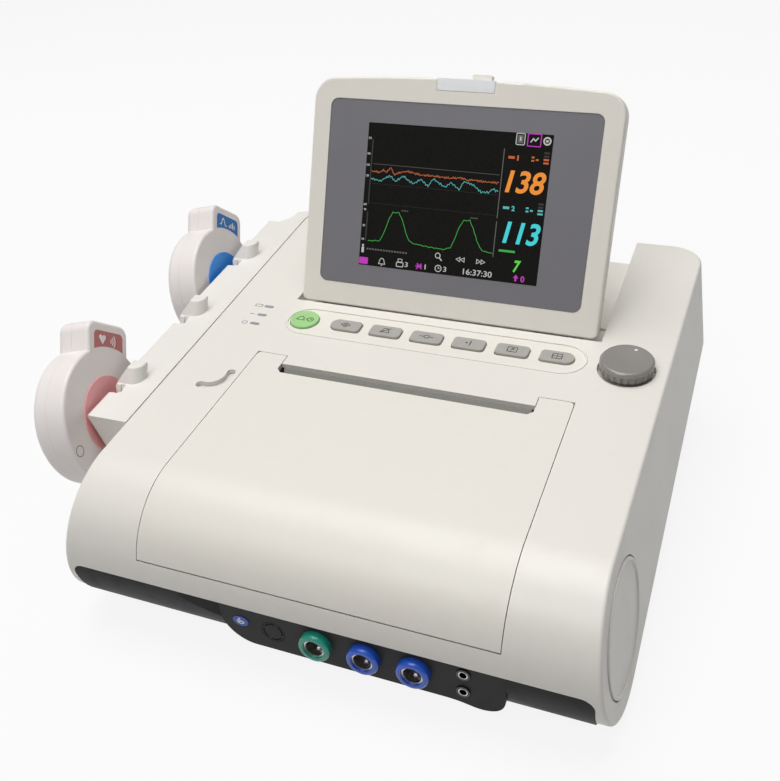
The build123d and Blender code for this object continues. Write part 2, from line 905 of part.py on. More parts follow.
def hinge_notches():
    """Room round the hinge ears in the display."""
    half = barrel_length / 2 + ear_side_gap + ear_thickness + 2.5
    low = barrel_centre_x - half
    return mirrored(rod(low, barrel_centre_x + half, pivot_y, pivot_z, notch_radius))


def display_front():
    """Front frame of the display, with the rebate for the window and the screen opening."""
    body = slab(0, front_depth, screen_outline())
    axis = Axis(screen_plane().origin, screen_plane().z_dir)
    body = fillet(body.faces().sort_by(axis)[-1].edges(), 1.4)
    rebate = RectangleRounded(window_width + 0.3, window_height + 0.3, window_corner)
    body -= slab(-1, window_sink + window_thickness + seat_gap, rebate)
    body -= slab(plate_depth, front_depth + 1, screen_outline(frame_wall))
    body -= slab(-1, front_depth, Rectangle(lcd_opening_width, lcd_opening_height))
    body -= slab(-1, lamp_depth + seat_gap, lamp_outline(seat_gap))
    return body - hinge_notches()


def display_back():
    """Back cover of the display, with its thumb catch and the two hinge barrels."""
    far = front_depth + back_depth
    body = slab(front_depth, far, screen_outline())
    axis = Axis(screen_plane().origin, screen_plane().z_dir)
    body = fillet(body.faces().sort_by(axis)[0].edges(), 3.0)
    body -= slab(front_depth - 1, far - frame_wall, screen_outline(frame_wall + 1.5))
    body -= hinge_notches()
    half = barrel_length / 2
    span = (barrel_centre_x - half, barrel_centre_x + half)
    web_up = pivot_up - screen_bottom + 6
    web = slab(front_depth + 0.4, far - 0.2, Pos(barrel_centre_x, web_up) * Rectangle(barrel_length, 12.0))
    barrel = web + rod(span[0], span[1], pivot_y, pivot_z, barrel_radius)
    bore = rod(span[0] - 1, span[1] + 1, pivot_y, pivot_z, hinge_pin_radius + pin_clearance)
    return body + display_catch() + mirrored(barrel) - mirrored(bore)


def display_catch():
    """Thumb tab that stands up over the display's top edge, on the back cover."""
    top = screen_top + screen_crown + seat_gap
    tab = Pos(catch_x, top + catch_height / 2) * RectangleRounded(catch_width, catch_height, 1.0)
    root = Pos(catch_x, top - 1.0) * Rectangle(catch_width - 2, 3.0)
    return slab(front_depth - 2.6, front_depth + 2.4, tab) + slab(front_depth, front_depth + 2.2, root)


def display_window():
    """Pane over the screen."""
    outline = RectangleRounded(window_width, window_height, window_corner)
    return slab(window_sink, window_sink + window_thickness, outline)


def lcd_panel():
    """Flat screen module with its metal back."""
    near = plate_depth + seat_gap
    far = near + lcd_thickness
    body = slab(near, far, Rectangle(lcd_width, lcd_height))
    return body + slab(far - 0.1, far + 0.8, Rectangle(lcd_width - 30, lcd_height - 30))


def alarm_lamp():
    """Lamp lens, flush with the frame's front and top."""
    return slab(0.0, lamp_depth, lamp_outline(0.0)) & slab(-1, front_depth, screen_outline())


def display_hinge_pins():
    """Two steel pins through the barrels."""
    half = barrel_length / 2 + ear_side_gap + ear_thickness
    return mirrored(rod(barrel_centre_x - half, barrel_centre_x + half, pivot_y, pivot_z, hinge_pin_radius))


def hinge_brackets():
    """Two brackets with two ears each, standing on the pocket's floor."""
    half = barrel_length / 2 + ear_side_gap
    low = pocket_floor_z
    outline = make_face(
        Polyline(
            (pivot_y - 5, low),
            (pivot_y + 5, low),
            (pivot_y + ear_radius * 0.92, pivot_z),
            (pivot_y - ear_radius * 0.92, pivot_z),
            close=True,
        )
    )
    ear = Plane.YZ * (outline + Pos(pivot_y, pivot_z) * Circle(ear_radius))
    inner = bar(barrel_centre_x - half - ear_thickness, barrel_centre_x - half, ear)
    outer = bar(barrel_centre_x + half, barrel_centre_x + half + ear_thickness, ear)
    reach = half + ear_thickness
    span = (barrel_centre_x - reach, barrel_centre_x + reach)
    side = inner + outer + block(span, (pivot_y - 8, pivot_y + 9), (low, low + bracket_plate))
    return mirrored(side - rod(span[0] - 1, span[1] + 1, pivot_y, pivot_z, hinge_pin_radius))


# Printer


def door_plan():
    """Plan of the printer door: a tongue with two ears at its rear."""
    cut = 3.0
    half = [
        (0, -220),
        (door_half_width, -220),
        (door_half_width, ear_rear_y),
        (ear_inner_x, ear_rear_y),
        (ear_inner_x, slot_front_y + cut),
        (ear_inner_x - cut, slot_front_y),
        (0, slot_front_y),
    ]
    face = make_face(Polyline(*half, close=True))
    outer = face.vertices().filter_by(lambda v: v.X > door_half_width - 1 and v.Y > -50)
    face = fillet(outer, 3.0)
    return face + mirror(face, about=Plane.YZ)


def printer_door():
    """Curved door over the paper, with its hinge bead and inner ribs."""
    half = door_half_width
    shell = across(housing_profile(0.0) - housing_profile(door_thickness), half)
    skin = shell & Pos(0, 0, door_pivot_z) * extrude(door_plan(), amount=100)
    lip = shell & rod(-half, half, door_pivot_y, door_pivot_z, door_lip_radius)
    body = skin + lip + rod(-half, half, door_pivot_y, door_pivot_z, door_bead_radius)
    ribs = housing_profile(door_thickness - 0.2) - housing_profile(door_thickness + 2.2)
    for x in (-door_rib_pitch, 0.0, door_rib_pitch):
        body += bar(x - 0.8, x + 0.8, ribs) & block((-100, 100), (-140, -52), (80, 200))
    for side in (1, -1):
        end = side * door_half_width
        low = min(end, end - side * 6)
        body -= rod(low, low + 6, door_pivot_y, door_pivot_z, door_pin_radius)
    return body


def door_hinge_pins():
    """Two stub pins at the ends of the door's bead."""
    span = (door_half_width - 6, door_half_width + 3.6)
    return mirrored(rod(*span, door_pivot_y, door_pivot_z, door_pin_radius))


def paper_tray():
    """Tray for the paper pack, with cheeks for the roller and a bay for the gears."""
    inset = door_thickness + tray_gap
    room = block((-200, 200), (-300, tray_rear_y), (tray_bottom_z, 200))
    body = across(housing_profile(inset), tray_half_width) & room
    floor = tray_bottom_z + tray_wall
    inner = paper_width / 2 + 2
    paper_rear = paper_front_y + paper_length + 1
    body -= block((-inner, inner), (paper_front_y - 1, paper_rear), (floor, 200))
    body -= block((-inner, inner), (paper_rear - 1, tray_rear_y - tray_wall), (floor + 24, 200))
    body -= block((-inner, inner), (paper_rear + tray_wall, tray_rear_y - tray_wall), (floor, 200))
    body -= block((inner + tray_wall, gear_x + 5), (roller_y - 14, roller_y + 14), (floor, 200))
    for side in (-1, 1):
        low = side * (inner + tray_wall + 9) - 7
        body -= block((low, low + 14), (paper_front_y + 16, roller_y - 17), (tray_bottom_z - 1, 74))
    body -= rod(-inner - tray_wall - 1, gear_x, roller_y, roller_z, roller_shaft_radius + pin_clearance)
    body -= rod(inner - 1, gear_x, roller_y, drive_gear_z, drive_shaft_radius + pin_clearance)
    return body - rod(-door_half_width, door_half_width, door_pivot_y, door_pivot_z, door_swing_radius)


def paper_pack():
    """Stack of fan-folded chart paper."""
    low = tray_bottom_z + tray_wall + seat_gap
    half = paper_width / 2
    return block((-half, half), (paper_front_y, paper_front_y + paper_length), (low, low + paper_stack))


def spur_gear(teeth, width):
    """Spur gear about Z, with straight-flanked teeth thinned for play."""
    pitch = gear_module * teeth / 2
    root = pitch - 1.25 * gear_module
    tip = pitch + gear_module
    half = (pi * gear_module / 2 - tooth_play) / 2
    lean = tan(radians(20))
    points = [
        (root - 0.4, -half - lean * 1.1 * gear_module),
        (root - 0.4, half + lean * 1.1 * gear_module),
        (root + 0.1, half + lean * 1.1 * gear_module),
        (pitch, half),
        (tip, half - lean * gear_module),
        (tip, -half + lean * gear_module),
        (pitch, -half),
        (root + 0.1, -half - lean * 1.1 * gear_module),
    ]
    tooth = make_face(Polyline(*points, close=True))
    outline = Circle(root) + [Rot(0, 0, index * 360 / teeth) * tooth for index in range(teeth)]
    return extrude(outline, amount=width / 2, both=True)


def on_x_axis(x, y, z, turn=0.0):
    """Place whose Z axis runs along +X."""
    return Pos(x, y, z) * Rot(0, 90, 0) * Rot(0, 0, turn)


def platen_roller():
    """Rubber roller on its steel shaft."""
    half = paper_width / 2 + 2 + tray_wall
    shaft = rod(-half, gear_x + 3.5, roller_y, roller_z, roller_shaft_radius)
    return shaft + rod(-roller_half_length, roller_half_length, roller_y, roller_z, roller_radius)


def platen_gear():
    """Gear on the end of the roller's shaft."""
    gear = on_x_axis(gear_x, roller_y, roller_z) * spur_gear(platen_teeth, gear_width)
    return gear - rod(gear_x - 5, gear_x + 5, roller_y, roller_z, roller_shaft_radius)


def drive_gear():
    """Larger gear on the motor's shaft, turned so that its teeth mesh."""
    gear = on_x_axis(gear_x, roller_y, drive_gear_z, drive_turn) * spur_gear(drive_teeth, gear_width)
    return gear + rod(motor_x + 4, gear_x + 3, roller_y, drive_gear_z, drive_shaft_radius)


def printer_motor():
    """Small round motor beside the gears."""
    body = rod(motor_x - motor_length, motor_x, roller_y, drive_gear_z, motor_radius)
    body += rod(motor_x - 0.1, paper_width / 2 + 1.8, roller_y, drive_gear_z, 4.0)
    bore = drive_shaft_radius + pin_clearance
    return body - rod(motor_x - motor_length / 4, gear_x, roller_y, drive_gear_z, bore)


def print_head():
    """Heating bar on its bracket behind the roller."""
    reach = paper_width / 2
    near = roller_y + roller_radius + 0.4
    blade = block((-reach, reach), (near, near + 2.2), (roller_z - 6, roller_z + 5))
    shelf = block((-reach, reach), (near, tray_rear_y - tray_wall - seat_gap), (roller_z - 8, roller_z - 6))
    return blade + shelf


def tear_bar():
    """Steel strip under the rear edge of the paper slot, with a lip that slopes down to the roller."""
    half = ear_inner_x - 2
    bar_width = 6.2
    strip = plate(on_deck(0, slot_rear_y + 2.4, -wall - 0.1), Rectangle(2 * half, bar_width), 0.8)
    near = slot_rear_y + 2.4 - bar_width / 2
    top = deck_z(near, wall + 0.1)
    lip = [
        (near + 0.8, deck_z(near + 0.8, wall + 0.15)),
        (near, top),
        (near - tear_lip_reach, top - tear_lip_drop),
        (near - tear_lip_reach + 0.8, top - tear_lip_drop - 0.4),
    ]
    return strip + across(yz(lip), half)


def door_release():
    """Latch plate under the curved finger slot, with an arm towards the door."""
    plane = on_deck(finger_x, finger_y, -wall - 0.25)
    floor = Circle(finger_radius + finger_width / 2 + 2.5) & Rectangle(40, 29)
    reach = -door_half_width - door_gap - 0.85 - finger_x
    floor &= Pos(reach - 40, 0) * Rectangle(80, 60)
    arm = Pos(reach - 7, 0) * Rectangle(14.0, 9.0)
    return plate(plane, floor, release_plate) + plate(plane, arm, release_arm)


# Controls


def key_panel():
    """Thin panel round the keys."""
    sketch = strip_outline(-0.15)
    for hole in key_sketches(key_gap):
        sketch -= hole
    rim = strip_outline(-0.15) - strip_outline(-0.15 - strip_rim_width)
    plane = on_deck(0, strip_y, strip_rim_height)
    raised = plate(plane, rim, strip_rim_height + strip_depth)
    raised = fillet(raised.faces().sort_by(Axis(plane.origin, plane.z_dir))[-1].edges(), 0.3)
    return raised + plate(on_deck(0, strip_y, strip_thickness - strip_depth), sketch, strip_thickness)


def key_solid(index):
    """One key: cap, flange that keeps it in, and stem."""
    cap_plane = on_deck(0, strip_y, key_proud)
    length = key_proud + wall + 0.3 + key_flange
    cap = plate(cap_plane, key_sketches()[index], length)
    axis = Axis(cap_plane.origin, cap_plane.z_dir)
    cap = fillet(cap.faces().sort_by(axis)[-1].edges(), 0.6)
    flange_plane = on_deck(0, strip_y, -wall - 0.3)
    cap += plate(flange_plane, key_sketches(flange_grow)[index], key_flange)
    x = round_key_x if index == 0 else first_key_x + (index - 1) * key_pitch
    drop = wall + 0.3 + key_flange
    stem_length = board_drop - drop - key_travel - 0.4
    return cap + plate(on_deck(x, strip_y, -drop + 0.1), Circle(2.0), stem_length)


def keypad_board():
    """Long circuit board under the keys."""
    return plate(on_deck(0, strip_y, -board_drop), RectangleRounded(strip_width, strip_height, 3.0), 1.6)


def encoder_knob():
    """Rotary knob: ribbed skirt, bevelled top with a shallow dish, and hub."""
    bore = knob_shaft_radius + pin_clearance
    skirt = knob_travel + knob_foot_gap
    profile = [
        (bore, skirt),
        (5.5, skirt),
        (5.5, 3.4),
        (knob_radius - 2.2, 3.4),
        (knob_radius - 2.2, skirt),
        (knob_radius, skirt),
        (knob_radius, knob_top - 1.8),
        (knob_radius - 1.6, knob_top),
        (knob_radius - 5.0, knob_top - 0.3),
        (4.0, knob_top - 0.9),
        (0, knob_top - 1.0),
        (0, knob_bore_top),
        (bore, knob_bore_top),
    ]
    body = revolve(Plane.XZ * make_face(Polyline(*profile, close=True)), Axis.Z)
    rib_cuts = []
    for index in range(knob_ribs):
        cut = Pos(knob_radius + 0.4, 0, 1.4) * Cylinder(0.95, 9.4)
        rib_cuts.append(Rot(0, 0, index * 360 / knob_ribs) * cut)
    return on_deck(knob_x, knob_y).location * (body - rib_cuts)


def encoder_shaft():
    """Shaft of the rotary encoder."""
    top = knob_bore_top - knob_travel - knob_foot_gap
    return plate(on_deck(knob_x, knob_y, top), Circle(knob_shaft_radius), 14.0 + top)


def encoder_body():
    """Encoder can under the knob's well."""
    top = knob_well_depth + wall
    can = plate(on_deck(knob_x, knob_y, -top - seat_gap / 2), RectangleRounded(15.0, 15.0, 1.0), 8.6)
    return can - plate(on_deck(knob_x, knob_y, 0), Circle(knob_shaft_radius + pin_clearance), 14.4)


def status_lights():
    """Three small lenses beside the start key."""
    lenses = [plate(on_deck(light_x, light_y, 0.2), sketch, 1.7) for sketch in light_slots(0.0)]
    return Compound(children=lenses)


# Connectors on the chin


def collar(x, z):
    """Coloured ring round a socket, with a soft lip."""
    ring = plate(chin_plane.offset(collar_height), Pos(x, z) * Circle(collar_radius), collar_height)
    front = ring.faces().sort_by(Axis.Y)[0].edges()
    ring = fillet(front, 1.8)
    return ring - plate(chin_plane.offset(8), Pos(x, z) * Circle(socket_shell_radius + 0.1), 12)


def socket_shell(x, z):
    """Metal sleeve of a socket."""
    ring = Circle(socket_shell_radius) - Circle(socket_bore_radius)
    length = socket_proud + socket_depth - insert_depth
    return plate(chin_plane.offset(socket_proud), Pos(x, z) * ring, length)


def socket_insert(x, z):
    """Dark contact block behind a socket's sleeve."""
    disc = Pos(x, z) * Circle(socket_shell_radius - 0.05)
    return plate(chin_plane.offset(insert_depth - socket_depth), disc, insert_depth)


def audio_jack(x, z):
    """Small round jack with a bright rim."""
    ring = Circle(jack_radius) - Circle(jack_bore_radius)
    return plate(chin_plane.offset(0.8), Pos(x, z) * ring, 0.8 + jack_depth)


def blank_plug():
    """Plug that closes the unused socket place."""
    nick = Pos(5.0, 0) * Rectangle(0.7, 3.0)
    disc = Circle(blank_radius) - [Rot(0, 0, 90 * i + 20) * nick for i in range(4)]
    return plate(chin_plane, Pos(blank_x, socket_z) * disc, 2.0)


def badge():
    """Bare oval plate beside the plug."""
    oval = Pos(badge_x, badge_z) * Ellipse(badge_width / 2, badge_height / 2)
    return plate(chin_plane.offset(0.4), oval, 1.3)


# Rail and transducers


def rail_place(x=0.0, y=0.0, z=0.0):
    """Place beside the left wall: X away from the rail's outside, Y along it, Z square to the deck."""
    return on_deck(-deck_half_width, 0).location * Rot(0, 0, rail_turn) * Pos(x, y, z)


def rail_prism(points, y_low, y_high):
    """Straight bar of an X-Z outline along the rail."""
    face = Plane.XZ * make_face(Polyline(*points, close=True))
    return Pos(0, y_low, 0) * extrude(face, amount=-(y_high - y_low))


def hook_places():
    """Distances of the hanging slots along the rail."""
    return [hook_first_y + index * hook_pitch for index in range(hook_count)]


def hook_frame(index, lean, out=0.0):
    """Place on a transducer's face: Z towards the rail, Y up in the face and leaned back."""
    turn = radians(transducer_turns[index])
    tip = radians(transducer_tilt)
    lean = radians(lean)
    normal = Vector(cos(tip) * cos(turn), cos(tip) * sin(turn), sin(tip))
    upward = Vector(-sin(tip) * cos(turn), -sin(tip) * sin(turn), cos(tip))
    along = Vector(-sin(turn), cos(turn), 0)
    centre = Vector(-transducer_out, hook_places()[index], -hook_drop) - normal * out
    across_face = along * cos(lean) - upward * sin(lean)
    return Plane(origin=centre, x_dir=across_face, z_dir=normal).location


def slot_y(index):
    """Where the middle of a hanging slot meets the rail's top."""
    return hook_places()[index] + hook_drop * tan(radians(slot_lean))


def rail_lug(index):
    """Guide behind a slot: leaned back with the slot, sloped outside and round inside."""
    lean = radians(slot_lean)
    front = slot_y(index) + (head_width / 2 + head_gap + 0.1) / cos(lean) - tan(lean)
    low_x = -rail_width
    high_x = -rail_width + lug_width
    plan = Pos((low_x + high_x) / 2, front + lug_length / 2) * Rectangle(lug_width, lug_length)
    inside = plan.vertices().group_by(Axis.X)[-1]
    plan = fillet(inside.sort_by(Axis.Y)[0], lug_length - 2)
    foot = Pos(0, 0, -1) * plan
    lug = extrude(foot, amount=(lug_height + 1) / cos(lean), dir=(0, sin(lean), cos(lean)))
    lug = fillet(lug.faces().sort_by(Axis.Z)[-1].edges(), 1.0)
    reach = lug_height + 5
    outside = [(low_x, 0), (low_x + lug_slope * reach, reach), (low_x - 5, reach), (low_x - 5, 0)]
    return lug - rail_prism(outside, front - 20, front + 40)


def hook_cuts(index):
    """Slot for the button's neck in the outer wall, room for its head, and a rounded lip."""
    half = neck_radius + neck_gap
    rise = 60.0
    neck = Pos(0, rise / 2, head_start / 2 - 2) * Box(2 * half, rise, head_start + 4)
    neck += Pos(0, 0, head_start / 2 - 2) * Cylinder(half, head_start + 4)
    low = -head_length / 2 - head_gap
    deep = head_thickness + 2 * head_gap
    head = Pos(0, (rise + low) / 2, head_start + head_thickness / 2)
    head = head * Box(head_width + 2 * head_gap, rise - low, deep)
    lip = Pos(-rail_width, slot_y(index) - half - 1.2, 1.2) * Rot(0, 90, 0) * Cylinder(2.6, 12)
    return hook_frame(index, slot_lean) * (neck + head) + lip


def rail_end_cut():
    """Hollow sweep in plan that runs the rail's rear end into the side wall."""
    outline = [
        Line((-60, rail_end_y), (-17.6, rail_end_y)),
        ThreePointArc((-17.6, rail_end_y), (-12.2, rail_end_y + 6.2), (-9.6, rail_tip_y - 3)),
        Line((-9.6, rail_tip_y - 3), (-4, rail_tip_y)),
        Line((-4, rail_tip_y), (-4, rail_tip_y + 20)),
        Line((-4, rail_tip_y + 20), (-60, rail_tip_y + 20)),
        Line((-60, rail_tip_y + 20), (-60, rail_end_y)),
    ]
    return Pos(0, 0, -2 * rail_height) * extrude(make_face(outline), amount=3 * rail_height)


def transducer_rail():
    """Holder rail on the left side, hollow below, with slots and lugs."""
    foot = -rail_width + rail_draft * rail_height
    outer = [(12, 0), (-rail_width, 0), (foot, -rail_height), (12, -rail_height)]
    body = rail_prism(outer, rail_front_y, rail_tip_y)
    body -= rail_end_cut()
    edges = [e for e in body.edges().filter_by(Axis.Y) if e.center().X < -15]
    body = fillet(edges, rail_edge)
    near = -rail_width + rail_wall + rail_draft * rail_wall
    low = -rail_height - 10
    foot = near + rail_draft * (rail_height + 7)
    inner = [(-3.4, -rail_wall), (near, -rail_wall), (foot, low), (-8.0, low)]
    body -= rail_prism(inner, rail_front_y + rail_wall, rail_end_y - rail_wall)
    for index in range(hook_count):
        body += rail_lug(index)
    for index in range(hook_count):
        body -= hook_cuts(index)
    cap_disc = end_cap_place(-1) * Circle(end_cap_radius + 0.5)
    cap_room = plate(side_plane(-1, -bead_height - 0.5), cap_disc, 5.0)
    return rail_place() * body - housing_block(-seat_gap) - cap_room


def transducer_outline(inset=0.0):
    """Front view of a transducer: a disc with a straight tab."""
    tab = Pos(0, tab_reach / 2) * Rectangle(tab_width - 2 * inset, tab_reach - 2 * inset)
    tops = tab.vertices().group_by(Axis.Y)[-1]
    tab = fillet(tops, tab_corner - inset)
    return Circle(transducer_radius - inset) + tab


def transducer_front_shell(index):
    """Front half of a transducer, towards the rail."""
    body = extrude(transducer_outline(), amount=-transducer_front)
    body = fillet(body.edges().group_by(Axis.Z)[-1], front_edge)
    body -= Pos(0, 0, -transducer_front) * extrude(transducer_outline(2.4), amount=transducer_front - 2.6)
    return rail_place() * hook_frame(index, transducer_lean) * body


def transducer_back_shell(index):
    """Back half of a transducer, with a broad soft edge."""
    body = extrude(transducer_outline(), amount=-transducer_back)
    body = fillet(body.edges().group_by(Axis.Z)[0], back_edge)
    return rail_place() * hook_frame(index, transducer_lean, transducer_front + 0.1) * body


def transducer_button(index):
    """Coloured disc with the oblong-headed button that hangs in the rail."""
    body = extrude(Circle(disc_radius), amount=disc_thickness)
    body += extrude(Circle(neck_radius), amount=head_start + 0.5)
    oblong = RectangleRounded(head_width, head_length, 2.6)
    head = Pos(0, 0, head_start) * extrude(oblong, amount=head_thickness)
    body += fillet(head.edges().group_by(Axis.Z)[-1], 0.8)
    return rail_place() * hook_frame(index, slot_lean) * body


def build_parts():
    """Every node of the object."""
    parts["upper_housing"] = upper_housing()
    parts["end_caps"] = Compound(children=[end_cap(1), end_cap(-1)])
    parts["base_housing"] = base_housing()
    parts["connector_panel"] = connector_panel()
    parts["rear_panel"] = rear_panel()
    parts["rubber_feet"] = rubber_feet()
    screws = [screw(x, y) for x, y in case_screw_places() + door_screw_places()]
    parts["base_screws"] = Compound(children=screws)
    parts["battery_door"] = battery_door()
    parts["battery_pack"] = battery_pack()
    parts["main_board"] = main_board()
    parts["power_supply"] = power_supply()
    parts["speaker"] = speaker()
    parts["mains_inlet"] = mains_inlet()
    parts["earth_stud"] = earth_stud()
    parts["network_port"] = network_port()
    parts["display_front"] = display_front()
    parts["display_back"] = display_back()
    parts["display_window"] = display_window()
    parts["lcd_panel"] = lcd_panel()
    parts["alarm_lamp"] = alarm_lamp()
    parts["display_hinge_pins"] = display_hinge_pins()
    parts["hinge_brackets"] = hinge_brackets()
    parts["printer_door"] = printer_door()
    parts["door_hinge_pins"] = door_hinge_pins()
    parts["door_release"] = door_release()
    parts["paper_tray"] = paper_tray()
    parts["paper_pack"] = paper_pack()
    parts["platen_roller"] = platen_roller()
    parts["platen_gear"] = platen_gear()
    parts["drive_gear"] = drive_gear()
    parts["printer_motor"] = printer_motor()
    parts["print_head"] = print_head()
    parts["tear_bar"] = tear_bar()
    parts["key_panel"] = key_panel()
    parts["start_key"] = key_solid(0)
    for index in range(1, key_count + 1):
        parts["function_key_" + str(index)] = key_solid(index)
    parts["keypad_board"] = keypad_board()
    parts["encoder_knob"] = encoder_knob()
    parts["encoder_shaft"] = encoder_shaft()
    parts["encoder_body"] = encoder_body()
    parts["status_lights"] = status_lights()
    sockets = socket_places()
    parts["green_collar"] = collar(*sockets[0])
    parts["blue_collars"] = Compound(children=[collar(*place) for place in sockets[1:]])
    parts["socket_shells"] = Compound(children=[socket_shell(*place) for place in sockets])
    parts["socket_inserts"] = Compound(children=[socket_insert(*place) for place in sockets])
    parts["audio_jacks"] = Compound(children=[audio_jack(*place) for place in jack_places()])
    parts["blank_plug"] = blank_plug()
    parts["badge"] = badge()
    parts["transducer_rail"] = transducer_rail()
    for name, index in (("ultrasound", 0), ("pressure", hook_count - 1)):
        parts[name + "_front_shell"] = transducer_front_shell(index)
        parts[name + "_back_shell"] = transducer_back_shell(index)
        parts[name + "_button"] = transducer_button(index)


build_parts()
os.makedirs("parts", exist_ok=True)
for name, shape in parts.items():
    export_step(shape, "parts/" + name + ".step")
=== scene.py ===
"""Looks of a desk-top fetal monitor: tilting screen, chart printer, key strip, sockets and two sensors."""

import logging
import math
from collections.abc import Mapping, Sequence
from dataclasses import dataclass
from enum import Enum
from typing import ClassVar

import bmesh
import bpy
from mathutils import Matrix, Vector


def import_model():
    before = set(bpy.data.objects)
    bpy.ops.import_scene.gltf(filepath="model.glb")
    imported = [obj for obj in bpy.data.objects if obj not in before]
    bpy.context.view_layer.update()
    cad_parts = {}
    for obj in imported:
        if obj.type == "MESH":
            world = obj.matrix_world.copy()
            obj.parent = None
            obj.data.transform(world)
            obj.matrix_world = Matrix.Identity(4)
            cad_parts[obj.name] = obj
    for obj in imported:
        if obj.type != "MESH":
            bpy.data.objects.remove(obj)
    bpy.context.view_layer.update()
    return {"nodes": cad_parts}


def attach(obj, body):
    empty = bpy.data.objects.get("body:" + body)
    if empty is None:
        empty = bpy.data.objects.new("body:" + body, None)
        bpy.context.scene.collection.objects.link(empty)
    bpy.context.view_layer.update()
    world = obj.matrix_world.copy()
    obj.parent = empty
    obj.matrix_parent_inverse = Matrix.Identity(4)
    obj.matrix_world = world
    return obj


log = logging.getLogger("monitor")
MM = 0.001
Colour = tuple[float, float, float]
Point = tuple[float, float]
Triple = tuple[float, float, float]


class Wire:
    """One output of a material's nodes, which takes part in plain arithmetic."""

    def __init__(self, sheet: "Sheet", socket: bpy.types.NodeSocket) -> None:
        """Keeps the socket and the sheet that it belongs to.

        Args:
            sheet: The sheet that adds the nodes.
            socket: The output that this wire stands for.
        """
        self.sheet = sheet
        self.socket = socket

    def __add__(self, other: "Wire | float") -> "Wire":
        """Sum with a number or wire."""
        return self.sheet.math("ADD", self, other)

    def __radd__(self, other: float) -> "Wire":
        """Sum with a number in front."""
        return self.sheet.math("ADD", other, self)

    def __sub__(self, other: "Wire | float") -> "Wire":
        """Difference from a number or wire."""
        return self.sheet.math("SUBTRACT", self, other)

    def __rsub__(self, other: float) -> "Wire":
        """Difference with a number in front."""
        return self.sheet.math("SUBTRACT", other, self)

    def __mul__(self, other: "Wire | float") -> "Wire":
        """Product with a number or wire."""
        return self.sheet.math("MULTIPLY", self, other)

    def __rmul__(self, other: float) -> "Wire":
        """Product with a number in front."""
        return self.sheet.math("MULTIPLY", other, self)

    def __truediv__(self, other: "Wire | float") -> "Wire":
        """Quotient by a number or wire."""
        return self.sheet.math("DIVIDE", self, other)

    def above(self, edge: float, soft: float) -> "Wire":
        """Rises from 0 to 1 where this wire passes an edge.

        Args:
            edge: Value at which the result is a half.
            soft: Width of the change.

        Returns:
            A wire from 0 to 1.
        """
        values = {"Value": self, "From Min": edge - soft / 2, "From Max": edge + soft / 2}
        return self.sheet.read("ShaderNodeMapRange", {"clamp": True}, values, "Result")

    def most(self, other: "Wire | float") -> "Wire":
        """The larger of two."""
        return self.sheet.math("MAXIMUM", self, other)


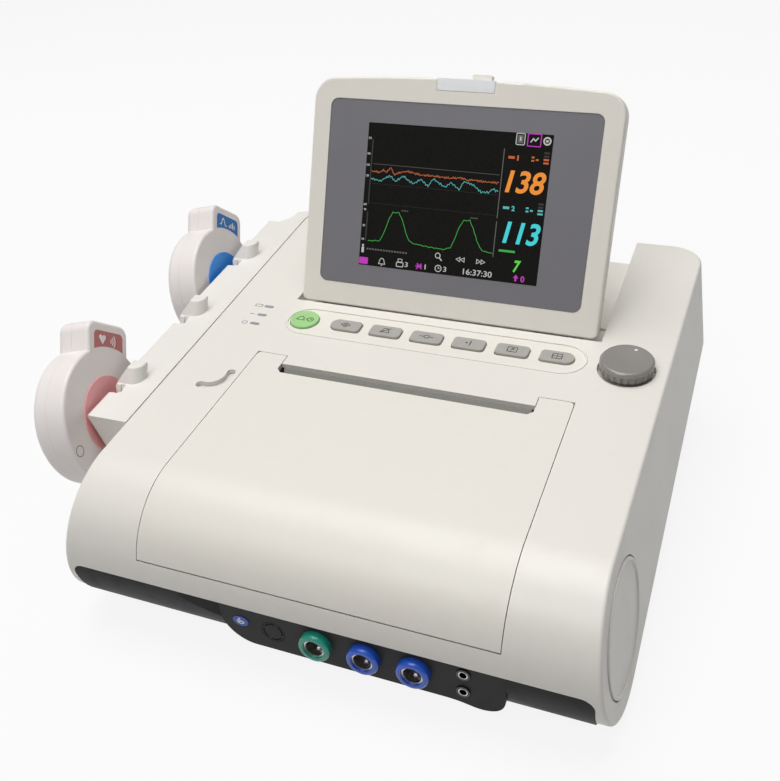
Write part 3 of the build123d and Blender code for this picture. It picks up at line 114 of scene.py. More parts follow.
class Sheet:
    """The node tree of one material, or of the air round the monitor."""

    def __init__(self, name: str, kind: str = "materials") -> None:
        """Starts an empty sheet.

        Args:
            name: Name of the material or world.
            kind: Either materials or worlds.
        """
        self.owner = getattr(bpy.data, kind).new(name)
        self.owner.use_nodes = True
        self.tree = self.owner.node_tree
        self.tree.nodes.clear()
        self._point: Wire | None = None

    def node(
        self, kind: str, settings: Mapping[str, object], values: Mapping[str | int, object]
    ) -> bpy.types.Node:
        """Adds one node.

        Args:
            kind: Type of the node.
            settings: Its own settings, set first.
            values: Values or wires of its sockets, by name or place.

        Returns:
            The new node.
        """
        made = self.tree.nodes.new(kind)
        for key, value in settings.items():
            setattr(made, key, value)
        for key, value in values.items():
            socket = made.inputs[key]
            if isinstance(value, Wire):
                self.tree.links.new(value.socket, socket)
            elif socket.type == "RGBA" and len(value) == 3:
                socket.default_value = (*value, 1.0)
            else:
                socket.default_value = value
        return made

    def read(
        self,
        kind: str,
        settings: Mapping[str, object],
        values: Mapping[str | int, object],
        output: str | int = 0,
    ) -> Wire:
        """Adds one node and gives back one of its outputs."""
        return Wire(self, self.node(kind, settings, values).outputs[output])

    def math(self, operation: str, *terms: "Wire | float") -> Wire:
        """Adds a Math node on up to two terms."""
        return self.read("ShaderNodeMath", {"operation": operation}, dict(enumerate(terms)))

    def mix(self, factor: Wire, low: "Wire | Colour", high: "Wire | Colour") -> Wire:
        """Mixes two colours.

        Args:
            factor: 0 for the low colour and 1 for the high one.
            low: First colour.
            high: Second colour.

        Returns:
            The mixed colour.
        """
        made = self.node("ShaderNodeMix", {"data_type": "RGBA"}, {0: factor, 6: low, 7: high})
        return Wire(self, made.outputs[2])

    def point(self) -> Wire:
        """Place on the object, in metres in its own frame.

        Returns:
            The place, read by one node for the whole sheet.
        """
        if self._point is None:
            self._point = self.read("ShaderNodeTexCoord", {}, {}, "Object")
        return self._point

    def axes(self) -> tuple[Wire, ...]:
        """The x, y and z of the place on the object."""
        split = self.node("ShaderNodeSeparateXYZ", {}, {0: self.point()})
        return tuple(Wire(self, socket) for socket in split.outputs[:3])

    def stretched(self, scale: Triple) -> Wire:
        """The place with each axis scaled."""
        values = {0: self.point(), 1: scale}
        return self.read("ShaderNodeVectorMath", {"operation": "MULTIPLY"}, values)

    def noise(self, size: float, detail: float = 2.0, along: Wire | None = None) -> Wire:
        """Soft noise from 0 to 1.

        Args:
            size: Size of its features in metres.
            detail: Number of finer layers.
            along: Place to read it at, or nothing for the place on the object.

        Returns:
            The noise.
        """
        values = {"Vector": along or self.point(), "Scale": 1 / size, "Detail": detail, "Roughness": 0.55}
        return self.read("ShaderNodeTexNoise", {}, values)

    def cells(self, size: float) -> Wire:
        """Distance to the nearest cell centre, for a spark-eroded grain."""
        values = {"Vector": self.point(), "Scale": 1 / size}
        return self.read("ShaderNodeTexVoronoi", {}, values, "Distance")

    def bump(self, height: Wire, depth: float, strength: float = 1.0) -> Wire:
        """Normal of a surface with the given height in metres times depth."""
        values = {"Height": height, "Distance": depth, "Strength": strength}
        return self.read("ShaderNodeBump", {}, values)

    def surface(self, values: Mapping[str | int, object]) -> bpy.types.Material:
        """Ends the sheet in a Principled shader.

        Args:
            values: Values or wires of the shader's sockets.

        Returns:
            The finished material.
        """
        return self.end(self.read("ShaderNodeBsdfPrincipled", {}, values))

    def end(self, shader: Wire, output: str = "ShaderNodeOutputMaterial") -> bpy.types.ID:
        """Links the last shader to the output.

        Args:
            shader: Last shader of the sheet.
            output: Type of the output node.

        Returns:
            The finished material or world.
        """
        self.node(output, {}, {0: shader})
        return self.owner


@dataclass(frozen=True)
class MouldedPlastic:
    """Injection-moulded housing plastic with a fine grain and faint handling marks."""

    name: str
    colour: Colour
    aged: Colour
    roughness: float = 0.46
    grain: float = 0.7
    depth: float = 0.02
    shine: float = 0.42

    def material(self) -> bpy.types.Material:
        """Builds the material.

        Returns:
            The finished material.
        """
        sheet = Sheet(self.name)
        cloud = sheet.noise(0.06, 3.0)
        fine = sheet.noise(self.grain * MM, 2.0)
        rubbed = sheet.noise(0.012, 4.0).above(0.62, 0.2)
        colour = sheet.mix(cloud.above(0.5, 0.5), self.colour, self.aged)
        darker = tuple(0.95 * v for v in self.aged)
        return sheet.surface(
            {
                "Base Color": sheet.mix(rubbed * 0.25, colour, darker),
                "Roughness": self.roughness + 0.1 * (cloud - 0.5) + 0.06 * rubbed,
                "Normal": sheet.bump(fine + 0.6 * sheet.cells(1.6 * self.grain * MM), self.depth * MM, 0.5),
                "Specular IOR Level": self.shine,
            }
        )


@dataclass(frozen=True)
class SoftRubber:
    """Matt elastomer with dust in its pores and a rubbed sheen."""

    name: str
    colour: Colour
    worn: Colour
    roughness: float = 0.62

    def material(self) -> bpy.types.Material:
        """Builds the material.

        Returns:
            The finished material.
        """
        sheet = Sheet(self.name)
        pores = sheet.cells(0.45 * MM)
        touch = sheet.noise(5 * MM, 3.0).above(0.52, 0.3)
        return sheet.surface(
            {
                "Base Color": sheet.mix(touch * 0.6, self.colour, self.worn),
                "Roughness": self.roughness - 0.12 * touch,
                "Normal": sheet.bump(pores, 0.03 * MM, 0.6),
                "Specular IOR Level": 0.35,
            }
        )


@dataclass(frozen=True)
class BrushedMetal:
    """Turned or drawn metal with fine lines along one axis."""

    name: str
    colour: Colour
    roughness: float = 0.3
    lines: Triple = (1.0, 30.0, 30.0)

    def material(self) -> bpy.types.Material:
        """Builds the material.

        Returns:
            The finished material.
        """
        sheet = Sheet(self.name)
        streak = sheet.noise(0.012, 3.0, sheet.stretched(self.lines))
        stain = sheet.noise(0.009, 3.0).above(0.6, 0.3)
        dull = tuple(0.62 * v for v in self.colour)
        return sheet.surface(
            {
                "Base Color": sheet.mix(stain * 0.5, self.colour, dull),
                "Metallic": 1.0,
                "Roughness": self.roughness + 0.18 * streak + 0.1 * stain,
                "Normal": sheet.bump(streak, 0.02 * MM, 0.5),
            }
        )


@dataclass(frozen=True)
class ScreenPane:
    """Acrylic pane, printed grey from behind and faintly smeared in front."""

    name: str
    colour: Colour

    def material(self) -> bpy.types.Material:
        """Builds the material.

        Returns:
            The finished material.
        """
        sheet = Sheet(self.name)
        lighter = tuple(1.07 * v for v in self.colour)
        smear = sheet.noise(0.02, 4.0, sheet.stretched((1.0, 3.0, 1.0)))
        return sheet.surface(
            {
                "Base Color": sheet.mix(sheet.noise(0.05).above(0.5, 0.6), self.colour, lighter),
                "Roughness": 0.34 + 0.08 * smear,
                "Normal": sheet.bump(sheet.noise(0.6 * MM, 1.0), 0.004 * MM, 0.4),
                "Specular IOR Level": 0.5,
                "Coat Weight": 0.15,
                "Coat Roughness": 0.12,
            }
        )


@dataclass(frozen=True)
class Glow:
    """Lit ink on the screen."""

    name: str
    colour: Colour
    strength: float = 1.0

    def material(self) -> bpy.types.Material:
        """Builds the material: lit dots with a faint raster.

        Returns:
            The finished material.
        """
        sheet = Sheet(self.name)
        raster = sheet.noise(0.5 * MM, 1.0).above(0.5, 0.8)
        lit = sheet.mix(raster, tuple(0.86 * v for v in self.colour), self.colour)
        return sheet.surface(
            {
                "Base Color": sheet.mix(raster, (0.01, 0.01, 0.01), (0.015, 0.015, 0.015)),
                "Emission Color": lit,
                "Emission Strength": self.strength,
                "Roughness": 0.5,
                "Specular IOR Level": 0.1,
            }
        )


@dataclass(frozen=True)
class Ink:
    """Printed or painted mark, slightly uneven."""

    name: str
    colour: Colour
    roughness: float = 0.5
    shine: float = 0.4

    def material(self) -> bpy.types.Material:
        """Builds the material.

        Returns:
            The finished material.
        """
        sheet = Sheet(self.name)
        patch = sheet.noise(1.5 * MM, 3.0)
        lighter = tuple(min(1.0, 1.16 * v + 0.01) for v in self.colour)
        return sheet.surface(
            {
                "Base Color": sheet.mix(patch, self.colour, lighter),
                "Roughness": self.roughness + 0.1 * patch,
                "Normal": sheet.bump(patch, 0.01 * MM, 0.4),
                "Specular IOR Level": self.shine,
            }
        )


@dataclass(frozen=True)
class ClearLens:
    """Frosted light guide with a soft inner tint."""

    name: str
    colour: Colour
    deep: Colour

    def material(self) -> bpy.types.Material:
        """Builds the material.

        Returns:
            The finished material.
        """
        sheet = Sheet(self.name)
        cloud = sheet.noise(6 * MM, 3.0)
        return sheet.surface(
            {
                "Base Color": sheet.mix(cloud.above(0.5, 0.7), self.colour, self.deep),
                "Roughness": 0.24 + 0.1 * cloud,
                "Normal": sheet.bump(sheet.noise(0.5 * MM), 0.01 * MM, 0.4),
                "Subsurface Weight": 0.3,
                "Subsurface Radius": (0.004, 0.004, 0.004),
                "Subsurface Scale": 0.5,
                "Coat Weight": 0.3,
            }
        )


@dataclass(frozen=True)
class CircuitBoard:
    """Glass-fibre board with its solder mask, tracks and pads."""

    name: str
    mask: Colour
    track: Colour

    def material(self) -> bpy.types.Material:
        """Builds the material.

        Returns:
            The finished material.
        """
        sheet = Sheet(self.name)
        x, y, _ = sheet.axes()
        lanes_x = sheet.math("FRACT", x / (2.4 * MM)).above(0.72, 0.06)
        lanes_y = sheet.math("FRACT", y / (2.4 * MM)).above(0.72, 0.06)
        area = sheet.noise(0.012, 1.0).above(0.5, 0.02)
        lanes = lanes_x * area + lanes_y * (1.0 - area)
        return sheet.surface(
            {
                "Base Color": sheet.mix(lanes * 0.7, self.mask, self.track),
                "Roughness": 0.38 + 0.15 * sheet.noise(4 * MM),
                "Normal": sheet.bump(lanes, 0.05 * MM, 0.5),
            }
        )


@dataclass(frozen=True)
class ChartPaper:
    """Folded chart paper with its printed grid and folded edges."""

    name: str
    colour: Colour
    grid: Colour

    def material(self) -> bpy.types.Material:
        """Builds the material.

        Returns:
            The finished material.
        """
        sheet = Sheet(self.name)
        x, y, z = sheet.axes()
        fine_x = sheet.math("FRACT", x / (5 * MM)).above(0.93, 0.02)
        fine_y = sheet.math("FRACT", y / (5 * MM)).above(0.93, 0.02)
        grid = fine_x.most(fine_y)
        layers = sheet.math("FRACT", z / (0.4 * MM))
        fibre = sheet.noise(0.6 * MM, 4.0)
        return sheet.surface(
            {
                "Base Color": sheet.mix(grid * 0.6, self.colour, self.grid),
                "Roughness": 0.8 + 0.1 * fibre,
                "Normal": sheet.bump(layers + 0.3 * fibre, 0.05 * MM, 0.6),
            }
        )


class Finishes(Enum):
    """Every finish of the monitor."""

    HOUSING = MouldedPlastic(
        "housing_plastic", (0.81, 0.785, 0.735), (0.82, 0.79, 0.735), 0.36, 0.7, 0.015, 0.5
    )
    DOOR = MouldedPlastic(
        "door_plastic", (0.81, 0.785, 0.72), (0.805, 0.775, 0.71), 0.38, 0.7, 0.015, 0.48
    )
    RAIL = MouldedPlastic(
        "rail_plastic", (0.83, 0.805, 0.765), (0.82, 0.795, 0.75), 0.38, 0.7, 0.015, 0.48
    )
    FRAME = MouldedPlastic(
        "screen_frame_plastic", (0.86, 0.825, 0.755), (0.85, 0.815, 0.745), 0.36, 0.7, 0.015, 0.5
    )
    PANEL = MouldedPlastic("key_strip_film", (0.83, 0.80, 0.735), (0.82, 0.79, 0.725), 0.38, 0.5, 0.01)
    # Release plate darker than the housing: painted shade, so that the finger slot reads as a recess.
    LATCH = MouldedPlastic("latch_painted_shade", (0.70, 0.67, 0.63), (0.68, 0.65, 0.61))
    TEAR = MouldedPlastic("tear_bar_plastic", (0.33, 0.32, 0.295), (0.30, 0.29, 0.27), 0.4, 0.5, 0.01)
    BASE = MouldedPlastic(
        "base_plastic", (0.012, 0.012, 0.013), (0.009, 0.009, 0.010), 0.52, 0.9, 0.03, 0.18
    )
    CHIN = MouldedPlastic(
        "chin_plastic", (0.028, 0.028, 0.030), (0.022, 0.022, 0.024), 0.50, 0.7, 0.02, 0.20
    )
    SENSOR = MouldedPlastic("sensor_plastic", (0.90, 0.85, 0.835), (0.88, 0.83, 0.815), 0.34, 0.5, 0.01)
    TRAY = MouldedPlastic("tray_plastic", (0.16, 0.16, 0.16), (0.14, 0.14, 0.14), 0.5)
    CASE = MouldedPlastic("battery_case_plastic", (0.03, 0.03, 0.034), (0.025, 0.025, 0.03), 0.4)
    GEAR = MouldedPlastic("gear_plastic", (0.78, 0.78, 0.74), (0.76, 0.75, 0.70), 0.36)
    KNOB = MouldedPlastic("knob_plastic", (0.27, 0.255, 0.238), (0.25, 0.235, 0.22), 0.40, 0.5, 0.02)
    # Bevel ring: glossier than the knob, which is its own finish, and slightly lighter, which is a painted
    # highlight.
    BEVEL = MouldedPlastic(
        "knob_bevel_painted_highlight", (0.285, 0.27, 0.255), (0.265, 0.25, 0.237), 0.18, 0.5, 0.01, 0.8
    )
    DARK = MouldedPlastic("dark_plastic", (0.012, 0.012, 0.014), (0.015, 0.015, 0.018), 0.36, 0.5, 0.01)
    INSERT = MouldedPlastic(
        "insert_plastic", (0.20, 0.175, 0.18), (0.17, 0.155, 0.16), 0.22, 0.5, 0.01, 0.6
    )
    GREEN_RING = MouldedPlastic(
        "green_socket_plastic", (0.014, 0.30, 0.21), (0.016, 0.32, 0.23), 0.24, 0.6, 0.02, 0.7
    )
    BLUE_RING = MouldedPlastic(
        "blue_socket_plastic", (0.020, 0.105, 0.62), (0.018, 0.095, 0.56), 0.24, 0.6, 0.02, 0.7
    )
    RED_DISC = MouldedPlastic(
        "red_disc_plastic", (0.95, 0.44, 0.46), (0.93, 0.42, 0.44), 0.4, 0.5, 0.01
    )
    BLUE_DISC = MouldedPlastic(
        "blue_disc_plastic", (0.035, 0.32, 0.92), (0.03, 0.30, 0.88), 0.4, 0.5, 0.01
    )
    BADGE = MouldedPlastic("badge_enamel", (0.04, 0.10, 0.48), (0.035, 0.09, 0.42), 0.28, 0.6, 0.01)
    KEY = SoftRubber("key_rubber", (0.40, 0.385, 0.36), (0.44, 0.425, 0.40))
    START = SoftRubber("start_key_rubber", (0.35, 0.64, 0.255), (0.39, 0.69, 0.295), 0.5)
    FOOT = SoftRubber("foot_rubber_skin", (0.02, 0.02, 0.021), (0.035, 0.035, 0.036))
    ROLLER = SoftRubber("platen_rubber", (0.03, 0.03, 0.032), (0.05, 0.05, 0.05))
    STEEL = BrushedMetal("bright_steel", (0.72, 0.72, 0.73))
    NICKEL = BrushedMetal("nickel_sleeve", (0.62, 0.62, 0.63), 0.22)
    GUNMETAL = BrushedMetal("jack_nut_metal", (0.075, 0.073, 0.072), 0.22)
    CAN = BrushedMetal("sheet_metal", (0.70, 0.71, 0.72), 0.36)
    CONTACT = BrushedMetal("gold_contact", (0.86, 0.62, 0.26), 0.26)
    LENS = ClearLens("alarm_lens", (0.93, 0.945, 0.97), (0.88, 0.90, 0.94))
    LIGHT = ClearLens("status_lens", (0.36, 0.385, 0.43), (0.30, 0.32, 0.36))
    BOARD = CircuitBoard("board_mask", (0.015, 0.085, 0.035), (0.05, 0.20, 0.09))
    PAPER = ChartPaper("chart_paper", (0.82, 0.80, 0.72), (0.62, 0.44, 0.40))
    PANE = ScreenPane("screen_pane", (0.192, 0.188, 0.208))
    FIELD = Ink("screen_field", (0.0050, 0.0048, 0.0042), 0.6, 0.06)
    INK = Ink("dark_ink", (0.035, 0.035, 0.037))
    GREY_INK = Ink("grey_ink", (0.16, 0.165, 0.18))
    RED_INK = Ink("red_label_ink", (0.52, 0.165, 0.175))
    BLUE_INK = Ink("blue_label_ink", (0.022, 0.17, 0.50))
    WHITE_INK = Ink("white_ink", (0.82, 0.80, 0.78))
    AMBER = Glow("amber_light", (0.86, 0.29, 0.035))
    ORANGE = Glow("orange_light", (0.50, 0.125, 0.045))
    CYAN = Glow("cyan_light", (0.055, 0.66, 0.70))
    TEAL = Glow("teal_light", (0.10, 0.46, 0.44))
    GREEN = Glow("green_light", (0.11, 0.66, 0.06))
    MOSS = Glow("moss_light", (0.045, 0.40, 0.06))
    MAGENTA = Glow("magenta_light", (0.50, 0.04, 0.46))
    WHITE = Glow("white_light", (0.50, 0.51, 0.49))
    GREY = Glow("grey_light", (0.115, 0.115, 0.11))
    SHADE = Glow("shade_light", (0.035, 0.035, 0.034))

    def make(self) -> bpy.types.Material:
        """The material of this finish, built once."""
        return bpy.data.materials.get(self.value.name) or self.value.material()


def basis(origin: Sequence[float], along: Sequence[float], up: Sequence[float], lift: float = 0.0) -> Matrix:
    """Matrix with its x along one direction and its y along another.

    Args:
        origin: Its origin in millimetres.
        along: Direction of x.
        up: Direction of y, square to x.
        lift: Distance in millimetres that the origin moves along z.

    Returns:
        The matrix.
    """
    x_axis = Vector(along).normalized()
    y_axis = Vector(up).normalized()
    z_axis = x_axis.cross(y_axis)
    turn = Matrix((x_axis, y_axis, z_axis)).transposed().to_4x4()
    return Matrix.Translation((Vector(origin) + lift * z_axis) * MM) @ turn


class Places:
    """The monitor's main sizes in millimetres and degrees, and the planes that pieces are drawn on."""

    deck_height: ClassVar[float] = 106.4
    deck_slope: ClassVar[float] = math.radians(5.5)
    deck_half_width: ClassVar[float] = 140.5
    chin_face: ClassVar[float] = -163.0
    rail_skew: ClassVar[float] = 0.02
    screen_tilt: ClassVar[float] = math.radians(20.2)
    screen_centre: ClassVar[Triple] = (0.0, 66.0, 177.0)
    pane_lift: ClassVar[float] = -0.4

    @classmethod
    def screen(cls, lift: float = 0.0) -> Matrix:
        """Plane of the pane, with y up the display and z out of it, lifted in front of it."""
        upward = (0, math.sin(cls.screen_tilt), math.cos(cls.screen_tilt))
        return basis(cls.screen_centre, (1, 0, 0), upward, cls.pane_lift + lift)

    @classmethod
    def deck(cls, x: float, y: float, lift: float = 0.0) -> Matrix:
        """Place on the sloping deck, with y up the slope and z square to it.

        Args:
            x: Millimetres to the right.
            y: Millimetres to the back, measured level.
            lift: Millimetres above the deck.

        Returns:
            The matrix.
        """
        origin = (x, y, cls.deck_height + y * math.tan(cls.deck_slope))
        return basis(origin, (1, 0, 0), (0, math.cos(cls.deck_slope), math.sin(cls.deck_slope)), lift)

    @classmethod
    def chin(cls, x: float, z: float, lift: float = 0.0) -> Matrix:
        """Place on the face of the connector chin, with y upwards and z towards the front."""
        return basis((x, cls.chin_face, z), (1, 0, 0), (0, 0, 1), lift)

    @classmethod
    def rail(cls) -> Matrix:
        """Place beside the left wall, as the holder rail lies."""
        return cls.deck(-cls.deck_half_width, 0.0) @ Matrix.Rotation(cls.rail_skew, 4, "Z")


class Form:
    """Collects solids of one piece in its own plane, then makes one object of them."""

    def __init__(self, name: str, place: Matrix) -> None:
        """Starts an empty form.

        Args:
            name: Name of the piece.
            place: Matrix of the plane that it is drawn on.
        """
        self.name = name
        self.place = place
        self.mesh = bmesh.new()
        self.finishes: list[Finishes] = []

    def ink(self, finish: Finishes) -> int:
        """Number of a finish on this form.

        Args:
            finish: The finish, which is added if it is new.

        Returns:
            Its number.
        """
        if finish not in self.finishes:
            self.finishes.append(finish)
        return self.finishes.index(finish)

    def loops(self, rings: Sequence[Sequence[Triple]], finish: Finishes, closed: bool) -> None:
        """Skins a row of equal rings, with a cap at each end or a join from last to first.

        Args:
            rings: Rings of points in millimetres.
            finish: Finish of the skin.
            closed: Whether the last ring joins the first.
        """
        slot = self.ink(finish)
        rows = [[self.mesh.verts.new(Vector(p) * MM) for p in ring] for ring in rings]
        count = len(rows[0])
        pairs = list(zip(rows, rows[1:] + ([rows[0]] if closed else [])))
        for low, high in pairs[: len(rows) if closed else len(rows) - 1]:
            for i in range(count):
                j = (i + 1) % count
                face = self.mesh.faces.new((low[i], low[j], high[j], high[i]))
                face.material_index = slot
        if not closed:
            for ring in (rows[0][::-1], rows[-1]):
                self.mesh.faces.new(ring).material_index = slot

    def slab(self, outline: Sequence[Point], low: float, high: float, finish: Finishes) -> None:
        """Solid of a flat outline between two heights."""
        self.loops([[(x, y, z) for x, y in outline] for z in (low, high)], finish, False)

    def ring(self, centre: Point, radii: Point, span: Point, finish: Finishes, count: int = 28) -> None:
        """Flat ring between two radii and between two heights."""
        (inner, outer), (low, high) = radii, span
        self.lathe([(inner, low), (outer, low), (outer, high), (inner, high)], finish, centre, count)

    def lathe(
        self, profile: Sequence[Point], finish: Finishes, centre: Point = (0, 0), count: int = 64
    ) -> None:
        """Solid of revolution about z.

        Args:
            profile: Closed profile of radius and height.
            finish: Its finish.
            centre: Its middle.
            count: Number of its sides.
        """
        rings = []
        for step in range(count):
            turn = 2 * math.pi * step / count
            c, s = math.cos(turn), math.sin(turn)
            rings.append([(centre[0] + r * c, centre[1] + r * s, z) for r, z in profile])
        self.loops(rings, finish, True)

    def stroke(
        self,
        points: Sequence[Point],
        width: float,
        low: float,
        high: float,
        finish: Finishes,
        closed: bool = False,
    ) -> None:
        """Line of even width through points, as a thin solid.

        Args:
            points: Points of its middle.
            width: Its width.
            low: Its lower height.
            high: Its upper height.
            finish: Its finish.
            closed: Whether it joins up.
        """
        rings = []
        last = len(points) - 1
        for i, here in enumerate(points):
            before = points[i - 1] if i or closed else here
            after = points[(i + 1) % len(points)] if i < last or closed else here
            along = (Vector(here) - Vector(before)).normalized()
            along += (Vector(after) - Vector(here)).normalized()
            along = along.normalized() if along.length > 1e-6 else Vector((1.0, 0.0))
            side = Vector((-along.y, along.x))
            first = Vector(after) - Vector(here) if after != here else Vector(here) - Vector(before)
            lean = max(0.5, abs(side.dot(Vector((-first.y, first.x)).normalized())))
            a, b = Vector(here) + side * width / 2 / lean, Vector(here) - side * width / 2 / lean
            rings.append([(b.x, b.y, low), (a.x, a.y, low), (a.x, a.y, high), (b.x, b.y, high)])
        self.loops(rings, finish, closed)

    def figures(
        self,
        text: str,
        size: float,
        box: tuple[float, float, float],
        high: float,
        finish: Finishes,
        bold: float = 0.0,
        lean: float = 0.0,
    ) -> None:
        """Plain figures that fill a stated width.

        Args:
            text: Digits or signs.
            size: Height of a digit in millimetres.
            box: Left edge, right edge and foot of the row in millimetres.
            high: Thickness above the plane.
            finish: Their finish.
            bold: Growth of the outline in millimetres.
            lean: Slant to the right.
        """
        curve = bpy.data.curves.new("figures", "FONT")
        curve.body = text
        curve.size = size / 0.73 * MM
        curve.offset = bold * MM
        curve.shear = lean
        curve.extrude = high / 2 * MM
        curve.resolution_u = 4
        holder = bpy.data.objects.new("figures", curve)
        bpy.context.scene.collection.objects.link(holder)
        bpy.context.view_layer.update()
        graph = bpy.context.evaluated_depsgraph_get()
        mesh = bpy.data.meshes.new_from_object(holder.evaluated_get(graph))
        slot = self.ink(finish)
        first = len(self.mesh.verts)
        known = len(self.mesh.faces)
        self.mesh.from_mesh(mesh)
        self.mesh.verts.ensure_lookup_table()
        self.mesh.faces.ensure_lookup_table()
        made = self.mesh.verts[first:]
        left = min(vert.co.x for vert in made)
        reach = max(vert.co.x for vert in made) - left
        for vert in made:
            vert.co.x = box[0] * MM + (vert.co.x - left) * (box[1] - box[0]) * MM / reach
            vert.co.y += box[2] * MM
            vert.co.z += high / 2 * MM
        for face in self.mesh.faces[known:]:
            face.material_index = slot
        bpy.data.objects.remove(holder)
        bpy.data.curves.remove(curve)
        bpy.data.meshes.remove(mesh)

    def done(self, body: str, slot: str, bevel: float = 0.0, smooth: float = 40.0) -> bpy.types.Object:
        """Makes the object.

        Args:
            body: CAD body that it rides on.
            slot: Material slot of the record that it belongs to; not used.
            bevel: Width of its softened edges in millimetres.
            smooth: Angle in degrees under which edges are shaded round.

        Returns:
            The object.
        """
        bmesh.ops.remove_doubles(self.mesh, verts=self.mesh.verts, dist=1e-7)
        bmesh.ops.recalc_face_normals(self.mesh, faces=self.mesh.faces)
        data = bpy.data.meshes.new(self.name)
        self.mesh.to_mesh(data)
        self.mesh.free()
        data.transform(self.place)
        for finish in self.finishes:
            data.materials.append(finish.make())
        for polygon in data.polygons:
            polygon.use_smooth = True
        data.set_sharp_from_angle(angle=math.radians(smooth))
        piece = bpy.data.objects.new(self.name, data)
        bpy.context.scene.collection.objects.link(piece)
        if bevel:
            softened = piece.modifiers.new("softened", "BEVEL")
            softened.width = bevel * MM
            softened.segments = 3
            softened.limit_method = "ANGLE"
            softened.angle_limit = math.radians(30)
            softened.harden_normals = True
        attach(piece, body)
        return piece


def rounded(
    half_x: float, half_y: float, radius: float, centre: Point = (0, 0), steps: int = 6
) -> list[Point]:
    """Outline of a rectangle with round corners.

    Args:
        half_x: Half of its width.
        half_y: Half of its height.
        radius: Radius of its corners.
        centre: Its middle.
        steps: Pieces of each corner.

    Returns:
        Its points, anticlockwise.
    """
    points = []
    for number, (sx, sy) in enumerate(((1, 1), (-1, 1), (-1, -1), (1, -1))):
        for step in range(steps + 1):
            a = math.pi / 2 * (number + step / steps)
            x = centre[0] + sx * (half_x - radius) + radius * math.cos(a)
            y = centre[1] + sy * (half_y - radius) + radius * math.sin(a)
            points.append((x, y))
    return points


def arc(centre: Point, radius: float, start: float, end: float, steps: int = 16) -> list[Point]:
    """Points of an arc between two angles in degrees."""
    turns = [math.radians(start + (end - start) * step / steps) for step in range(steps + 1)]
    return [(centre[0] + radius * math.cos(a), centre[1] + radius * math.sin(a)) for a in turns]


class Dressed:
    """A sub-assembly of the monitor, whose CAD nodes wear its finishes."""

    wear: ClassVar[Mapping[Finishes, Sequence[str]]] = {}

    def dress(self, nodes: Mapping[str, bpy.types.Object]) -> None:
        """Gives the CAD nodes their finishes.

        Args:
            nodes: The CAD nodes by name.
        """
        for finish, names in self.wear.items():
            for name in names:
                data = nodes[name].data
                if not data.materials:
                    data.materials.append(finish.make())
                for index in range(len(data.materials)):
                    data.materials[index] = finish.make()

    def build(self) -> None:
        """Adds no piece: the shapes come from the CAD solids."""


@dataclass
class Housing(Dressed):
    """White housing, its end caps, the printer door and the dark base below."""

    wear = {
        Finishes.HOUSING: ("upper_housing", "end_caps"),
        Finishes.BASE: ("base_housing", "rear_panel", "battery_door"),
        Finishes.CHIN: ("connector_panel", "blank_plug"),
        Finishes.DOOR: ("printer_door",),
        # The release plate wears a darker colour as painted shade on the finger slot's floor.
        Finishes.LATCH: ("door_release",),
        Finishes.TEAR: ("tear_bar",),
        Finishes.FOOT: ("rubber_feet",),
        Finishes.STEEL: ("base_screws", "door_hinge_pins", "display_hinge_pins"),
        Finishes.CAN: ("hinge_brackets", "power_supply"),
    }


@dataclass
class Inside(Dressed):
    """Printer works, boards, battery and the ports in the rear wall."""

    wear = {
        Finishes.BOARD: ("main_board", "keypad_board"),
        Finishes.PAPER: ("paper_pack",),
        Finishes.TRAY: ("paper_tray",),
        Finishes.ROLLER: ("platen_roller",),
        Finishes.GEAR: ("platen_gear", "drive_gear"),
        Finishes.CAN: ("printer_motor", "encoder_body", "encoder_shaft", "earth_stud"),
        Finishes.DARK: ("print_head", "speaker", "mains_inlet", "network_port"),
        Finishes.CASE: ("battery_pack",),
    }
    inlet: Triple = (-92.0, 150.0, 30.0)
    network: Triple = (30.0, 150.0, 28.4)
    contact_count: int = 8
    contact_pitch: float = 1.1

    def build(self) -> None:
        """Pins of the mains inlet and contacts of the network port."""
        pins = Form("inlet_pins", basis(self.inlet, (-1, 0, 0), (0, 0, 1)))
        for x, y in ((0.0, 2.6), (-5.4, -2.2), (5.4, -2.2)):
            pins.slab(rounded(1.0, 2.2, 0.4, (x, y), 3), -7.2, -1.2, Finishes.STEEL)
        pins.done("monitor_body", "screw_steel", 0.2)
        contacts = Form("port_contacts", basis(self.network, (-1, 0, 0), (0, 0, 1)))
        for step in range(self.contact_count):
            x = (step - (self.contact_count - 1) / 2) * self.contact_pitch
            outline = [(x - 0.2, -4.3), (x + 0.2, -4.3), (x + 0.2, -3.5), (x - 0.2, -3.5)]
            contacts.slab(outline, -10.8, -3.0, Finishes.CONTACT)
        contacts.done("monitor_body", "screw_steel")


